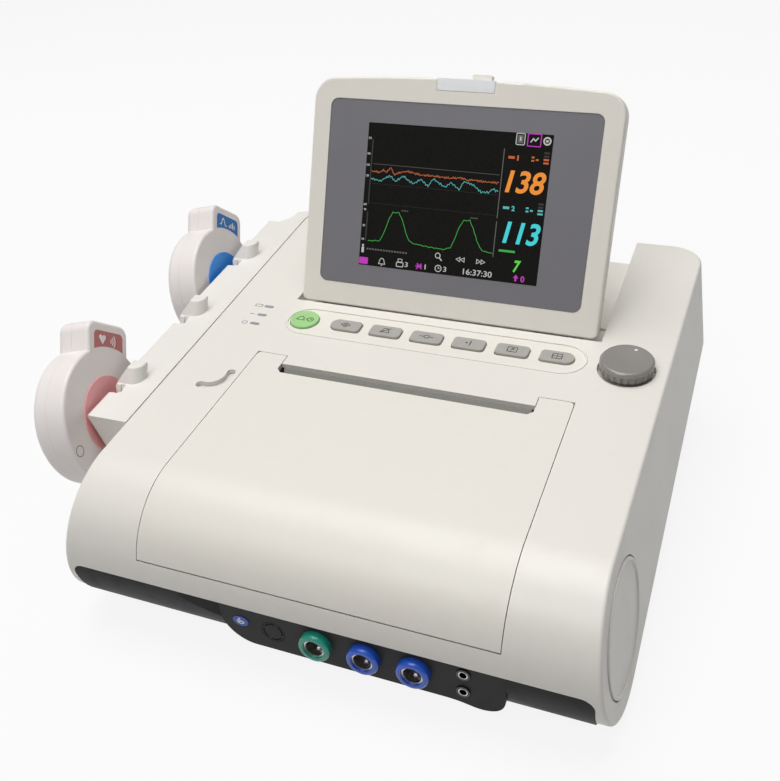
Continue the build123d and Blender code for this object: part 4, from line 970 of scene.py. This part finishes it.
class Picture(Form):
    """The lit picture on the display, drawn in millimetres from the middle of the pane."""

    high: ClassVar[float] = 0.10
    trace: ClassVar[float] = 0.36

    def line(self, points: Sequence[Point], width: float, finish: Finishes, closed: bool = False) -> None:
        """Draws one lit line."""
        self.stroke(points, width, 0.0, self.high, finish, closed)

    def write(
        self,
        words: str,
        size: float,
        box: Triple,
        finish: Finishes = Finishes.WHITE,
        bold: float = 0.05,
        lean: float = 0.0,
    ) -> None:
        """Writes lit figures."""
        self.figures(words, size, box, self.high, finish, bold, lean)

    def draw(self) -> None:
        """Draws the whole picture."""
        self._readings()
        self._traces()
        self._scales()
        self._channel_marks()
        self._head_icons()
        self._foot_icons()

    def _readings(self) -> None:
        """The large figures on the right and the clock below."""
        self.write("138", 12.8, (31.2, 55.0, 9.5), Finishes.AMBER, 0.4, 0.2)
        self.write("113", 12.8, (33.0, 55.2, -20.1), Finishes.CYAN, 0.4, 0.2)
        self.write("7", 6.9, (41.3, 45.9, -36.8), Finishes.GREEN, 0.3, 0.2)
        self.write("0", 3.6, (46.6, 49.0, -42.4), Finishes.MAGENTA, 0.15)
        self.write("16:37:30", 3.6, (10.6, 28.8, -42.0))

    @staticmethod
    def _shaken(knots: Sequence[Point], step: float, size: float) -> list[Point]:
        """Fills in a line between knots and gives it the small jitter of a live trace.

        Args:
            knots: Points that it passes near.
            step: Distance between the points that are added.
            size: Height of the jitter.

        Returns:
            The points of the trace.
        """
        points = []
        for (x0, y0), (x1, y1) in zip(knots, knots[1:]):
            count = max(1, round((x1 - x0) / step))
            for number in range(count):
                part = number / count
                x = x0 + (x1 - x0) * part
                jitter = math.sin(9.7 * x) + 0.8 * math.sin(4.3 * x + 1.0) + 0.6 * math.sin(17.0 * x + 2.0)
                points.append((x, y0 + (y1 - y0) * part + size * jitter))
        return points + [knots[-1]]

    def _traces(self) -> None:
        """The two heart-rate traces and the pressure curve."""
        first = [
            (-54.3, 14.4), (-48.5, 14.0), (-46.5, 15.6), (-44.6, 14.6), (-41.8, 17.2), (-39.0, 13.4),
            (-35.0, 15.2), (-30.7, 16.0), (-22.0, 14.6), (-14.4, 14.6), (-4.0, 14.2), (4.2, 15.0),
            (7.5, 13.9), (11.6, 14.4), (18.0, 13.9), (27.0, 14.0),
        ]
        second = [
            (-54.4, 10.0), (-47.9, 8.8), (-44.9, 11.0), (-41.6, 12.4), (-38.2, 9.4), (-33.2, 13.0),
            (-29.6, 10.6), (-26.2, 9.0), (-21.7, 12.0), (-16.8, 8.3), (-13.8, 13.0), (-9.4, 10.4),
            (-5.8, 8.7), (-2.4, 11.7), (3.1, 8.0), (5.8, 13.0), (8.6, 12.2), (11.4, 11.6), (16.8, 7.8),
            (21.8, 8.0), (23.8, 10.3), (27.1, 8.8),
        ]
        third = [
            (-53.3, -28.4), (-45.2, -27.6), (-42.6, -21.5), (-40.0, -13.0), (-38.0, -9.4), (-34.1, -9.2),
            (-31.4, -13.4), (-28.7, -20.2), (-26.4, -25.0), (-23.7, -26.9), (-14.0, -28.0), (-3.5, -28.5),
            (1.1, -27.1), (3.4, -21.5), (5.4, -14.5), (7.9, -9.8), (11.8, -9.6), (14.4, -14.2),
            (17.2, -20.7), (19.6, -25.0), (22.0, -26.8), (27.6, -27.5),
        ]
        self.line(self._shaken(first, 0.42, 0.34), self.trace, Finishes.ORANGE)
        self.line(self._shaken(second, 0.5, 0.34), self.trace, Finishes.TEAL)
        self.line(self._shaken(third, 0.8, 0.18), self.trace, Finishes.MOSS)
        for x, y in ((-30.4, -7.8), (14.0, -7.9)):
            for number in range(4):
                left = x - 2.0 + 1.2 * number
                self.line([(left, y), (left + 0.7, y)], 0.7, Finishes.GREY)

    def _scales(self) -> None:
        """Dividers, scale bars with their numbers, and the grid."""
        for low, high in ((-6.5, 33.9), (-29.6, -8.4)):
            self.line([(28.3, low), (28.3, high)], 0.5, Finishes.GREY)
        for low, high in ((-5.7, 33.6), (-28.5, -10.3)):
            self.line([(-54.9, low), (-54.9, high)], 0.8, Finishes.SHADE)
        for words, y in (("210", 34.1), ("180", 24.8), ("150", 18.0), ("120", 11.5), ("60", -6.1)):
            self.write(words, 1.3, (-58.0, -56.0, y - 0.6), bold=0.03)
        for words, y in (("90", -9.2), ("50", -19.1), ("10", -27.6)):
            self.write(words, 1.3, (-57.6, -56.0, y - 0.6), bold=0.03)
        self.line([(-53.6, 18.9), (26.9, 18.6)], 0.24, Finishes.GREY)
        for y in (7.0, -5.0):
            self.line([(-53.6, y), (26.9, y)], 0.16, Finishes.SHADE)

    def _channel_marks(self) -> None:
        """Number, sound bars and level bars above each large figure."""
        for digit, width, y, finish in (("1", 1.0, 29.2, Finishes.ORANGE), ("2", 2.0, 0.1, Finishes.TEAL)):
            self.line([(31.2, y), (35.0, y)], 1.5, finish)
            self.write(digit, 2.9, (36.4, 36.4 + width, y - 1.45), finish, 0.15)
            for left, bottom in ((45.0, -1.0), (45.0, 0.9), (47.6, -0.4)):
                self.line([(left, y + bottom), (left + 1.7, y + bottom)], 1.0, finish)
            for number, light in enumerate((finish, finish, Finishes.SHADE, Finishes.SHADE)):
                level = y - 1.9 + 1.9 * number
                self.line([(52.2, level), (55.3, level)], 1.1, light)
        self.line([(31.4, -25.2), (41.4, -25.2)], 1.3, Finishes.MOSS)

    def _head_icons(self) -> None:
        """Symbols in the upper right corner."""
        chart, curve, target = (37.3, 39.9), (45.5, 39.8), (53.1, 39.7)
        self.line(rounded(2.5, 3.2, 0.6, chart, 3), 0.5, Finishes.WHITE, True)
        self.slab(rounded(1.7, 2.4, 0.4, chart, 3), 0.0, 0.5 * self.high, Finishes.GREY)
        self.line([(37.3, 38.9), (37.3, 41.2)], 0.9, Finishes.WHITE)
        self.line(rounded(3.9, 3.5, 0.5, curve, 3), 0.6, Finishes.MAGENTA, True)
        self.line([(43.4, 38.4), (44.8, 40.6), (46.2, 39.4), (47.8, 41.3)], 0.7, Finishes.WHITE)
        self.ring(target, (1.5, 2.4), (0.0, self.high), Finishes.WHITE)
        self.slab(arc(target, 0.8, 0, 342, 19), 0.0, self.high, Finishes.WHITE)

    def _foot_icons(self) -> None:
        """Symbols in the lower left corner."""
        high, white = self.high, Finishes.WHITE
        self.slab(rounded(0.8, 1.9, 0.5, (-56.3, -34.2), 3), 0.0, high, white)
        self.slab(arc((-56.3, -31.4), 0.7, 0, 330, 11), 0.0, high, white)
        for number in range(15):
            left = -53.7 + 1.85 * number
            self.line([(left, -33.4), (left + 1.2, -33.4)], 1.0, Finishes.GREY)
        self.slab(rounded(3.0, 2.1, 0.6, (-55.2, -41.0), 3), 0.0, high, Finishes.MAGENTA)
        bell = arc((-42.8, -39.8), 1.4, 0, 180, 8) + [(-44.9, -41.9), (-40.7, -41.9)]
        self.line(bell, 0.45, white, True)
        self.line([(-43.3, -42.7), (-42.3, -42.7)], 0.5, white)
        self.line(rounded(2.2, 1.3, 0.4, (-30.7, -40.9), 3), 0.5, white, True)
        self.line(rounded(1.3, 0.9, 0.2, (-30.7, -38.4), 3), 0.4, white, True)
        self.write("3", 3.1, (-27.3, -25.3, -41.9))
        rays = ((-19.6, -42.2, -16.4, -38.8), (-19.4, -38.8, -16.2, -42.0), (-20.2, -40.4, -15.8, -40.4))
        for x0, y0, x1, y1 in rays:
            self.line([(x0, y0), (x1, y1)], 0.8, Finishes.MAGENTA)
        self.write("1", 3.1, (-14.2, -13.5, -41.9))
        self.ring((-5.4, -40.4), (1.7, 2.2), (0.0, high), white)
        self.line([(-5.4, -39.2), (-5.4, -40.4), (-4.4, -40.4)], 0.4, white)
        self.write("3", 3.1, (-2.1, -0.1, -41.9))
        self.ring((-6.4, -32.6), (1.3, 1.8), (0.0, high), white, 24)
        self.line([(-5.2, -33.9), (-3.6, -35.5)], 0.7, white)
        for middle, side in ((8.1, -1.0), (21.1, 1.0)):
            for shift in (-1.4, 1.4):
                back = middle + shift - 1.2 * side
                tip = (middle + shift + 1.2 * side, -33.4)
                self.line([(back, -32.1), tip, (back, -34.7)], 0.4, white, True)
        self.line([(43.6, -42.4), (43.6, -40.2)], 1.2, Finishes.MAGENTA)
        self.slab([(41.9, -40.6), (45.3, -40.6), (43.6, -38.4)], 0.0, high, Finishes.MAGENTA)


@dataclass
class Display(Dressed):
    """Tilting display: frame, pane, lamp and the lit picture."""

    wear = {
        Finishes.FRAME: ("display_front", "display_back"),
        Finishes.PANE: ("display_window",),
        Finishes.DARK: ("lcd_panel",),
        Finishes.LENS: ("alarm_lamp",),
    }
    field_middle: Point = (-0.9, -0.2)
    field_half: Point = (57.5, 43.6)
    field_corner: float = 0.4

    def build(self) -> None:
        """The black field and the lit picture on it, as thin marks on the pane."""
        field = Form("screen_field", Places.screen(0.01))
        outline = rounded(*self.field_half, self.field_corner, self.field_middle, 2)
        field.slab(outline, 0.0, 0.05, Finishes.FIELD)
        field.done("display", "panel_dark")
        picture = Picture("screen_picture", Places.screen(0.07))
        picture.draw()
        picture.done("display", "panel_dark")


@dataclass
class Controls(Dressed):
    """Key strip, keys, rotary knob and status lights."""

    wear = {
        Finishes.PANEL: ("key_panel",),
        Finishes.START: ("start_key",),
        Finishes.KEY: tuple(f"function_key_{number}" for number in range(1, 7)),
        Finishes.KNOB: ("encoder_knob",),
        Finishes.LIGHT: ("status_lights",),
    }
    strip_y: float = 18.9
    round_x: float = -83.5
    first_x: float = -55.1
    pitch: float = 26.63
    proud: float = 1.2
    knob: Point = (117.7, 17.3)
    knob_radius: float = 15.2
    knob_top: float = 7.4
    lights: Point = (-113.5, 17.7)
    mark: float = 0.06

    def _draw(self, form: Form, points: Sequence[Point], width: float = 0.5, closed: bool = False) -> None:
        """Prints one dark line on a key."""
        form.stroke(points, width, 0.0, self.mark, Finishes.INK, closed)

    def _key(self, name: str, x: float) -> Form:
        """Starts the print on the top of a key."""
        return Form(name, Places.deck(x, self.strip_y, self.proud))

    def _knob_trim(self) -> None:
        """Smooth bevel round the knob's top, slightly lighter than the knob as a painted highlight, and a
        white painted highlight in the finger dimple near its edge.
        """
        trim = Form("knob_trim", Places.deck(*self.knob))
        r, top = self.knob_radius, self.knob_top
        edge = [
            (r - 1.9, top - 0.3), (r - 1.6, top + 0.05), (r - 1.1, top + 0.02), (r + 0.02, top - 1.25),
            (r + 0.06, top - 1.7), (r + 0.06, top - 2.6), (r - 0.6, top - 2.6),
        ]
        # The bevel's lighter colour is a painted highlight on the knob's top edge.
        trim.lathe(edge, Finishes.BEVEL, count=96)
        trim.done("knob", "knob_grey", smooth=50.0)
        # White spot filling the finger dimple: a painted highlight in the dish.
        highlight_spot = Form("knob_dimple_painted_highlight", Places.deck(self.knob[0] + 3.2, self.knob[1] + 10.2))
        dish = [(0.0, top - 0.8), (0.7, top - 0.5), (0.95, top - 0.2), (0.75, top - 0.05), (0.0, top - 0.3)]
        highlight_spot.lathe(dish, Finishes.WHITE_INK, count=24)
        highlight_spot.done("knob", "knob_grey")

    def _start_symbol(self) -> None:
        """Bell and clock on the round key."""
        start = self._key("start_key_symbol", self.round_x)
        self._draw(start, arc((-2.4, 0.4), 1.7, 0, 180, 10) + [(-5.0, -1.6), (0.2, -1.6)], closed=True)
        self._draw(start, [(0.6, 0.0), (2.0, 0.0)])
        start.ring((4.0, 0.0), (1.7, 2.2), (0.0, self.mark), Finishes.INK)
        self._draw(start, [(4.0, 1.1), (4.0, 0.0), (5.0, 0.0)], 0.4)
        start.done("start_button", "key_green")

    def _key_symbols(self) -> None:
        """One sign on each oblong key."""
        span, ink = (0.0, self.mark), Finishes.INK
        names = [f"key_symbol_{number}" for number in range(1, 7)]
        keys = [self._key(name, self.first_x + place * self.pitch) for place, name in enumerate(names)]
        eye, bell, zero, dot, page, table = keys
        self._draw(eye, [(-3.0, 0), (0, 2.2), (3.0, 0), (0, -2.2)], closed=True)
        eye.ring((0, 0), (0.5, 1.0), span, ink, 20)
        self._draw(bell, arc((0, 0.5), 1.8, 0, 180, 10) + [(-2.8, -1.7), (2.8, -1.7)], closed=True)
        self._draw(bell, [(-2.9, -2.6), (2.9, 2.8)])
        zero.ring((0, 0), (1.3, 1.8), span, ink)
        for left in (-4.6, 1.8):
            self._draw(zero, [(left, 0), (left + 2.8, 0)])
        self._draw(dot, [(1.0, -2.4), (1.0, 2.4)], 0.6)
        dot.slab(arc((-1.4, 0), 0.7, 0, 330, 11), 0.0, self.mark, ink)
        for sheet in (page, table):
            self._draw(sheet, rounded(2.8, 2.3, 0.4), closed=True)
        self._draw(page, [(-1.0, -1.2), (0.9, 1.2)])
        self._draw(page, [(-0.9, 1.1), (0.9, 1.1), (0.9, -0.6)], 0.45)
        self._draw(table, [(-2.8, 0), (2.8, 0)], 0.45)
        self._draw(table, [(0, -2.3), (0, 2.3)], 0.35)
        for number, form in enumerate(keys, 1):
            form.done(f"button_{number}", "key_grey")

    def _status_symbols(self) -> None:
        """Battery, mains and power signs beside the status lights."""
        icons = Form("status_symbols", Places.deck(*self.lights))
        signs = (
            (rounded(2.4, 1.2, 0.2, (-7.2, 10.1)), 0.4, True),
            ([(-4.6, 9.6), (-4.6, 10.6)], 0.4, False),
            ([(-8.8, 0.0), (-5.4, 0.0)], 0.5, False),
            (arc((-7.2, -10.1), 1.7, 120, 420, 20), 0.4, False),
            ([(-7.2, -9.4), (-7.2, -8.0)], 0.4, False),
        )
        for points, width, closed in signs:
            icons.stroke(points, width, 0.0, self.mark, Finishes.GREY_INK, closed)
        icons.done("monitor_body", "housing_white")

    def build(self) -> None:
        """Symbols on the keys and beside the status lights, and the knob's trim."""
        self._knob_trim()
        self._start_symbol()
        self._key_symbols()
        self._status_symbols()


@dataclass
class Connectors(Dressed):
    """Sockets, jacks, plug and badge on the chin."""

    wear = {
        Finishes.GREEN_RING: ("green_collar",),
        Finishes.BLUE_RING: ("blue_collars",),
        Finishes.NICKEL: ("socket_shells",),
        Finishes.GUNMETAL: ("audio_jacks",),
        Finishes.INSERT: ("socket_inserts",),
        Finishes.BADGE: ("badge",),
    }
    sockets: tuple[Point, ...] = ((2.8, 33.0), (28.6, 33.0), (54.4, 33.0))
    jacks: tuple[Point, ...] = ((78.9, 39.4), (78.9, 28.0))
    plug: Point = (-21.5, 33.0)
    badge: Triple = (-39.7, 35.0, 0.4)
    pin_count: int = 5
    pin_circle: float = 2.6
    insert_face: float = -8.95

    def _socket_pins(self, number: int, place: Point) -> None:
        """Contacts and key of one socket.

        Args:
            number: Number of the socket, from 1.
            place: Its middle on the chin.
        """
        pins = Form(f"socket_pins_{number}", Places.chin(*place))
        floor = self.insert_face
        pin = [(0.0, floor), (0.5, floor), (0.5, -4.2), (0.25, -3.7), (0.0, -3.7)]
        for step in range(self.pin_count):
            a = math.radians(90 + step * 60)
            at = (self.pin_circle * math.cos(a), self.pin_circle * math.sin(a))
            pins.lathe(pin, Finishes.CONTACT, at, 12)
        pins.slab(rounded(0.8, 0.8, 0.2, (0.0, -4.4), 2), floor, -1.5, Finishes.NICKEL)
        pins.done("monitor_body", "screw_steel")

    def build(self) -> None:
        """Contacts of the sockets, rims of the jacks, and the plain signs beside them."""
        for number, place in enumerate(self.sockets, 1):
            self._socket_pins(number, place)
        for number, place in enumerate(self.jacks, 1):
            rim = Form(f"jack_rim_{number}", Places.chin(*place))
            section = [(1.85, 0.4), (2.35, 0.4), (2.35, 0.86), (2.1, 0.98), (1.85, 0.86)]
            rim.lathe(section, Finishes.NICKEL, count=40)
            rim.done("monitor_body", "screw_steel")
        plug = Form("plug_marks", Places.chin(*self.plug))
        for step in range(4):
            mark = arc((0.0, 0.0), 5.1, 90 * step - 15, 90 * step + 55, 10)
            plug.stroke(mark, 0.9, -0.02, 0.03, Finishes.FIELD)
        plug.done("monitor_body", "base_charcoal")
        sign = Form("badge_sign", Places.chin(*self.badge))
        sign.slab(arc((-0.6, 1.4), 0.75, 0, 330, 11), 0.0, 0.05, Finishes.WHITE_INK)
        wave = [(-2.2, 0.2), (-0.8, -0.4), (0.4, 0.2), (2.2, -0.4)]
        for points, width in ((wave, 0.8), (arc((0.0, 0.6), 2.2, 215, 325, 10), 0.6)):
            sign.stroke(points, width, 0.0, 0.05, Finishes.WHITE_INK)
        sign.done("monitor_body", "socket_blue")


@dataclass
class Sensors(Dressed):
    """Holder rail and the two hanging transducers."""

    wear = {
        Finishes.RAIL: ("transducer_rail",),
        Finishes.SENSOR: tuple(
            f"{name}_{side}_shell" for name in ("ultrasound", "pressure") for side in ("front", "back")
        ),
        Finishes.RED_DISC: ("ultrasound_button",),
        Finishes.BLUE_DISC: ("pressure_button",),
    }
    face: float = 27.4
    drop: float = 14.2
    lean: float = math.radians(42.5)
    tip: float = math.radians(12.2)
    places: tuple[tuple[str, float, float], ...] = (("ultrasound", -82.6, 6.2), ("pressure", 67.6, 3.5))
    label_low: float = 0.08
    label_high: float = 0.12

    def place(self, y: float, turn: float) -> Matrix:
        """Middle of a transducer's face, with z towards the rail and y up its tab.

        Args:
            y: Its place along the rail in millimetres.
            turn: Its turn away from the rail in degrees.

        Returns:
            The matrix.
        """
        a, t = math.radians(turn), self.tip
        upward = Vector((-math.sin(t) * math.cos(a), -math.sin(t) * math.sin(a), math.cos(t)))
        along = Vector((-math.sin(a), math.cos(a), 0.0))
        x_axis = along * math.cos(self.lean) - upward * math.sin(self.lean)
        tab = along * math.sin(self.lean) + upward * math.cos(self.lean)
        return Places.rail() @ basis((-self.face, y, -self.drop), x_axis, tab)

    def build(self) -> None:
        """Printed labels on the tabs, and the ring below each disc."""
        for (name, y, turn), ink in zip(self.places, (Finishes.RED_INK, Finishes.BLUE_INK)):
            label = Form(f"{name}_label", self.place(y, turn))
            label.slab(self._label_outline(), 0.0, self.label_low, ink)
            (self._heart_sign if name == "ultrasound" else self._pressure_sign)(label)
            label.done(f"{name}_transducer", "transducer_white")
            dimple = Form(f"{name}_dimple", self.place(y, turn))
            dimple.ring((-26.5, -23.0), (2.9, 3.35), (-0.05, 0.06), Finishes.GREY_INK, 36)
            dimple.done(f"{name}_transducer", "transducer_white")

    def _heart_sign(self, label: Form) -> None:
        """Heart with sound waves.

        Args:
            label: Form of the label.
        """
        span = (self.label_low, self.label_high, Finishes.WHITE_INK)
        lobes = arc((-4.1, 45.2), 1.55, -20, 180, 10) + arc((-7.2, 45.2), 1.55, 0, 200, 10)
        label.slab(lobes + [(-5.65, 41.0)], *span)
        for radius in (2.0, 3.8, 5.6):
            label.stroke(arc((0.4, 43.7), radius, -38, 38, 8), 0.8, *span)

    def _pressure_sign(self, label: Form) -> None:
        """Wave of pressure with level bars.

        Args:
            label: Form of the label.
        """
        span = (self.label_low, self.label_high, Finishes.WHITE_INK)
        rise = [(-9.6, 41.8), (-7.8, 42.0), (-6.6, 45.4)]
        fall = [(-10.8 - x, y) for x, y in reversed(rise)]
        label.stroke(rise + [(-5.4, 46.6)] + fall, 0.8, *span)
        for number, level in enumerate((1.8, 3.2, 4.6, 3.2)):
            x, top = 1.8 + 2.1 * number, 41.6 + level
            label.slab([(x, 41.6), (x + 1.1, 41.6), (x + 1.1, top), (x, top)], *span)

    def _label_outline(self) -> list[Point]:
        """Outline of a label, hollow below so that it runs beside the disc.

        Returns:
            Its points, anticlockwise.
        """
        reach = math.degrees(math.asin(13.2 / 41.0))
        lower = arc((0.0, -1.0), 41.0, 90 + reach, 90 - reach, 14)
        return lower + rounded(13.2, 4.0, 3.0, (0.0, 45.1))[:14]


@dataclass
class Studio:
    """Floor, soft light and the photograph's camera."""

    floor_size: float = 9.0
    floor_white: float = 0.80
    ambient: float = 0.19
    lens: float = 43.868
    camera_at: Triple = (172.41, -452.93, 388.55)
    camera_right: Triple = (0.93041, 0.36375, -0.04505)
    camera_up: Triple = (-0.15862, 0.51040, 0.84518)
    aim: Triple = (0.0, 0.0, 0.10)

    @staticmethod
    def _seen(sheet: Sheet, *rays: str) -> Wire:
        """1 for the named rays and 0 for all others.

        Args:
            sheet: The sheet that it is added to.
            rays: Outputs of the Light Path node.

        Returns:
            The mask.
        """
        path = sheet.node("ShaderNodeLightPath", {}, {})
        first, *others = [Wire(sheet, path.outputs[ray]) for ray in rays]
        for other in others:
            first = first.most(other)
        return first

    def stage(self) -> None:
        """Pale floor that keeps the shadow and shows near white to the camera."""
        sheet = Sheet("pale_floor")
        seen = self._seen(sheet, "Is Camera Ray", "Is Glossy Ray", "Is Transmission Ray")
        dusty = sheet.mix(sheet.noise(0.4, 2.0), (0.44, 0.44, 0.44), (0.46, 0.46, 0.46))
        values = {"Base Color": dusty, "Roughness": 0.9, "Specular IOR Level": 0.0}
        lit = sheet.read("ShaderNodeBsdfPrincipled", {}, values)
        white = sheet.read("ShaderNodeEmission", {}, {"Color": (1.0, 1.0, 1.0), "Strength": 1.1})
        whitened = {0: seen * self.floor_white, 1: lit, 2: white}
        material = sheet.end(sheet.read("ShaderNodeMixShader", {}, whitened))
        half = self.floor_size / 2
        mesh = bmesh.new()
        corners = ((-half, -half), (half, -half), (half, half), (-half, half))
        mesh.faces.new([mesh.verts.new((x, y, 0.0)) for x, y in corners])
        data = bpy.data.meshes.new("floor")
        mesh.to_mesh(data)
        mesh.free()
        data.materials.append(material)
        floor = bpy.data.objects.new("floor", data)
        floor.location.z = -0.1 * MM
        bpy.context.scene.collection.objects.link(floor)

    def world(self) -> None:
        """White backdrop with a lower even light on the object."""
        sheet = Sheet("studio_air", "worlds")
        seen = self._seen(sheet, "Is Camera Ray", "Is Transmission Ray")
        air = {"Color": (0.98, 0.99, 1.0), "Strength": self.ambient}
        lit = sheet.read("ShaderNodeBackground", {}, air)
        white = sheet.read("ShaderNodeBackground", {}, {"Color": (1.0, 1.0, 1.0), "Strength": 1.0})
        mixed = sheet.read("ShaderNodeMixShader", {}, {0: seen, 1: lit, 2: white})
        bpy.context.scene.world = sheet.end(mixed, "ShaderNodeOutputWorld")

    def lamp(self, name: str, at: Triple, size: float, power: float, colour: Colour) -> None:
        """Large soft lamp that looks at the monitor.

        Args:
            name: Its name.
            at: Its place in metres.
            size: Its width in metres.
            power: Its power in watts.
            colour: Its colour.
        """
        data = bpy.data.lights.new(name, "AREA")
        data.shape = "DISK"
        data.size = size
        data.energy = power
        data.color = colour
        lamp = bpy.data.objects.new(name, data)
        lamp.location = at
        lamp.rotation_euler = (Vector(self.aim) - Vector(at)).to_track_quat("-Z", "Y").to_euler()
        bpy.context.scene.collection.objects.link(lamp)

    def lights(self) -> None:
        """Overhead softbox, and a weak fill from the front left."""
        self.lamp("overhead_softbox", (-0.35, 0.10, 2.5), 2.1, 48.0, (1.0, 0.995, 0.985))
        self.lamp("front_fill", (-0.6, -1.9, 2.1), 1.4, 18.0, (1.0, 0.99, 0.98))

    def camera(self) -> None:
        """Camera at the photograph's place."""
        data = bpy.data.cameras.new("camera")
        data.sensor_fit = "HORIZONTAL"
        data.sensor_width = 36.0
        data.lens = self.lens
        camera = bpy.data.objects.new("camera", data)
        camera.matrix_world = basis(self.camera_at, self.camera_right, self.camera_up)
        bpy.context.scene.collection.objects.link(camera)
        bpy.context.scene.camera = camera

    def build(self) -> None:
        """Sets the stage."""
        self.camera()
        self.stage()
        self.world()
        self.lights()
        bpy.context.scene.view_settings.view_transform = "Standard"


def main() -> None:
    """Builds and dresses the monitor, piece by piece."""
    logging.basicConfig(level=logging.INFO, format="%(message)s")
    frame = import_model()
    Studio().build()
    for part in (Housing(), Inside(), Display(), Controls(), Connectors(), Sensors()):
        part.dress(frame["nodes"])
        part.build()
        log.info("%s is built", type(part).__name__)


if __name__ == "__main__":
    main()
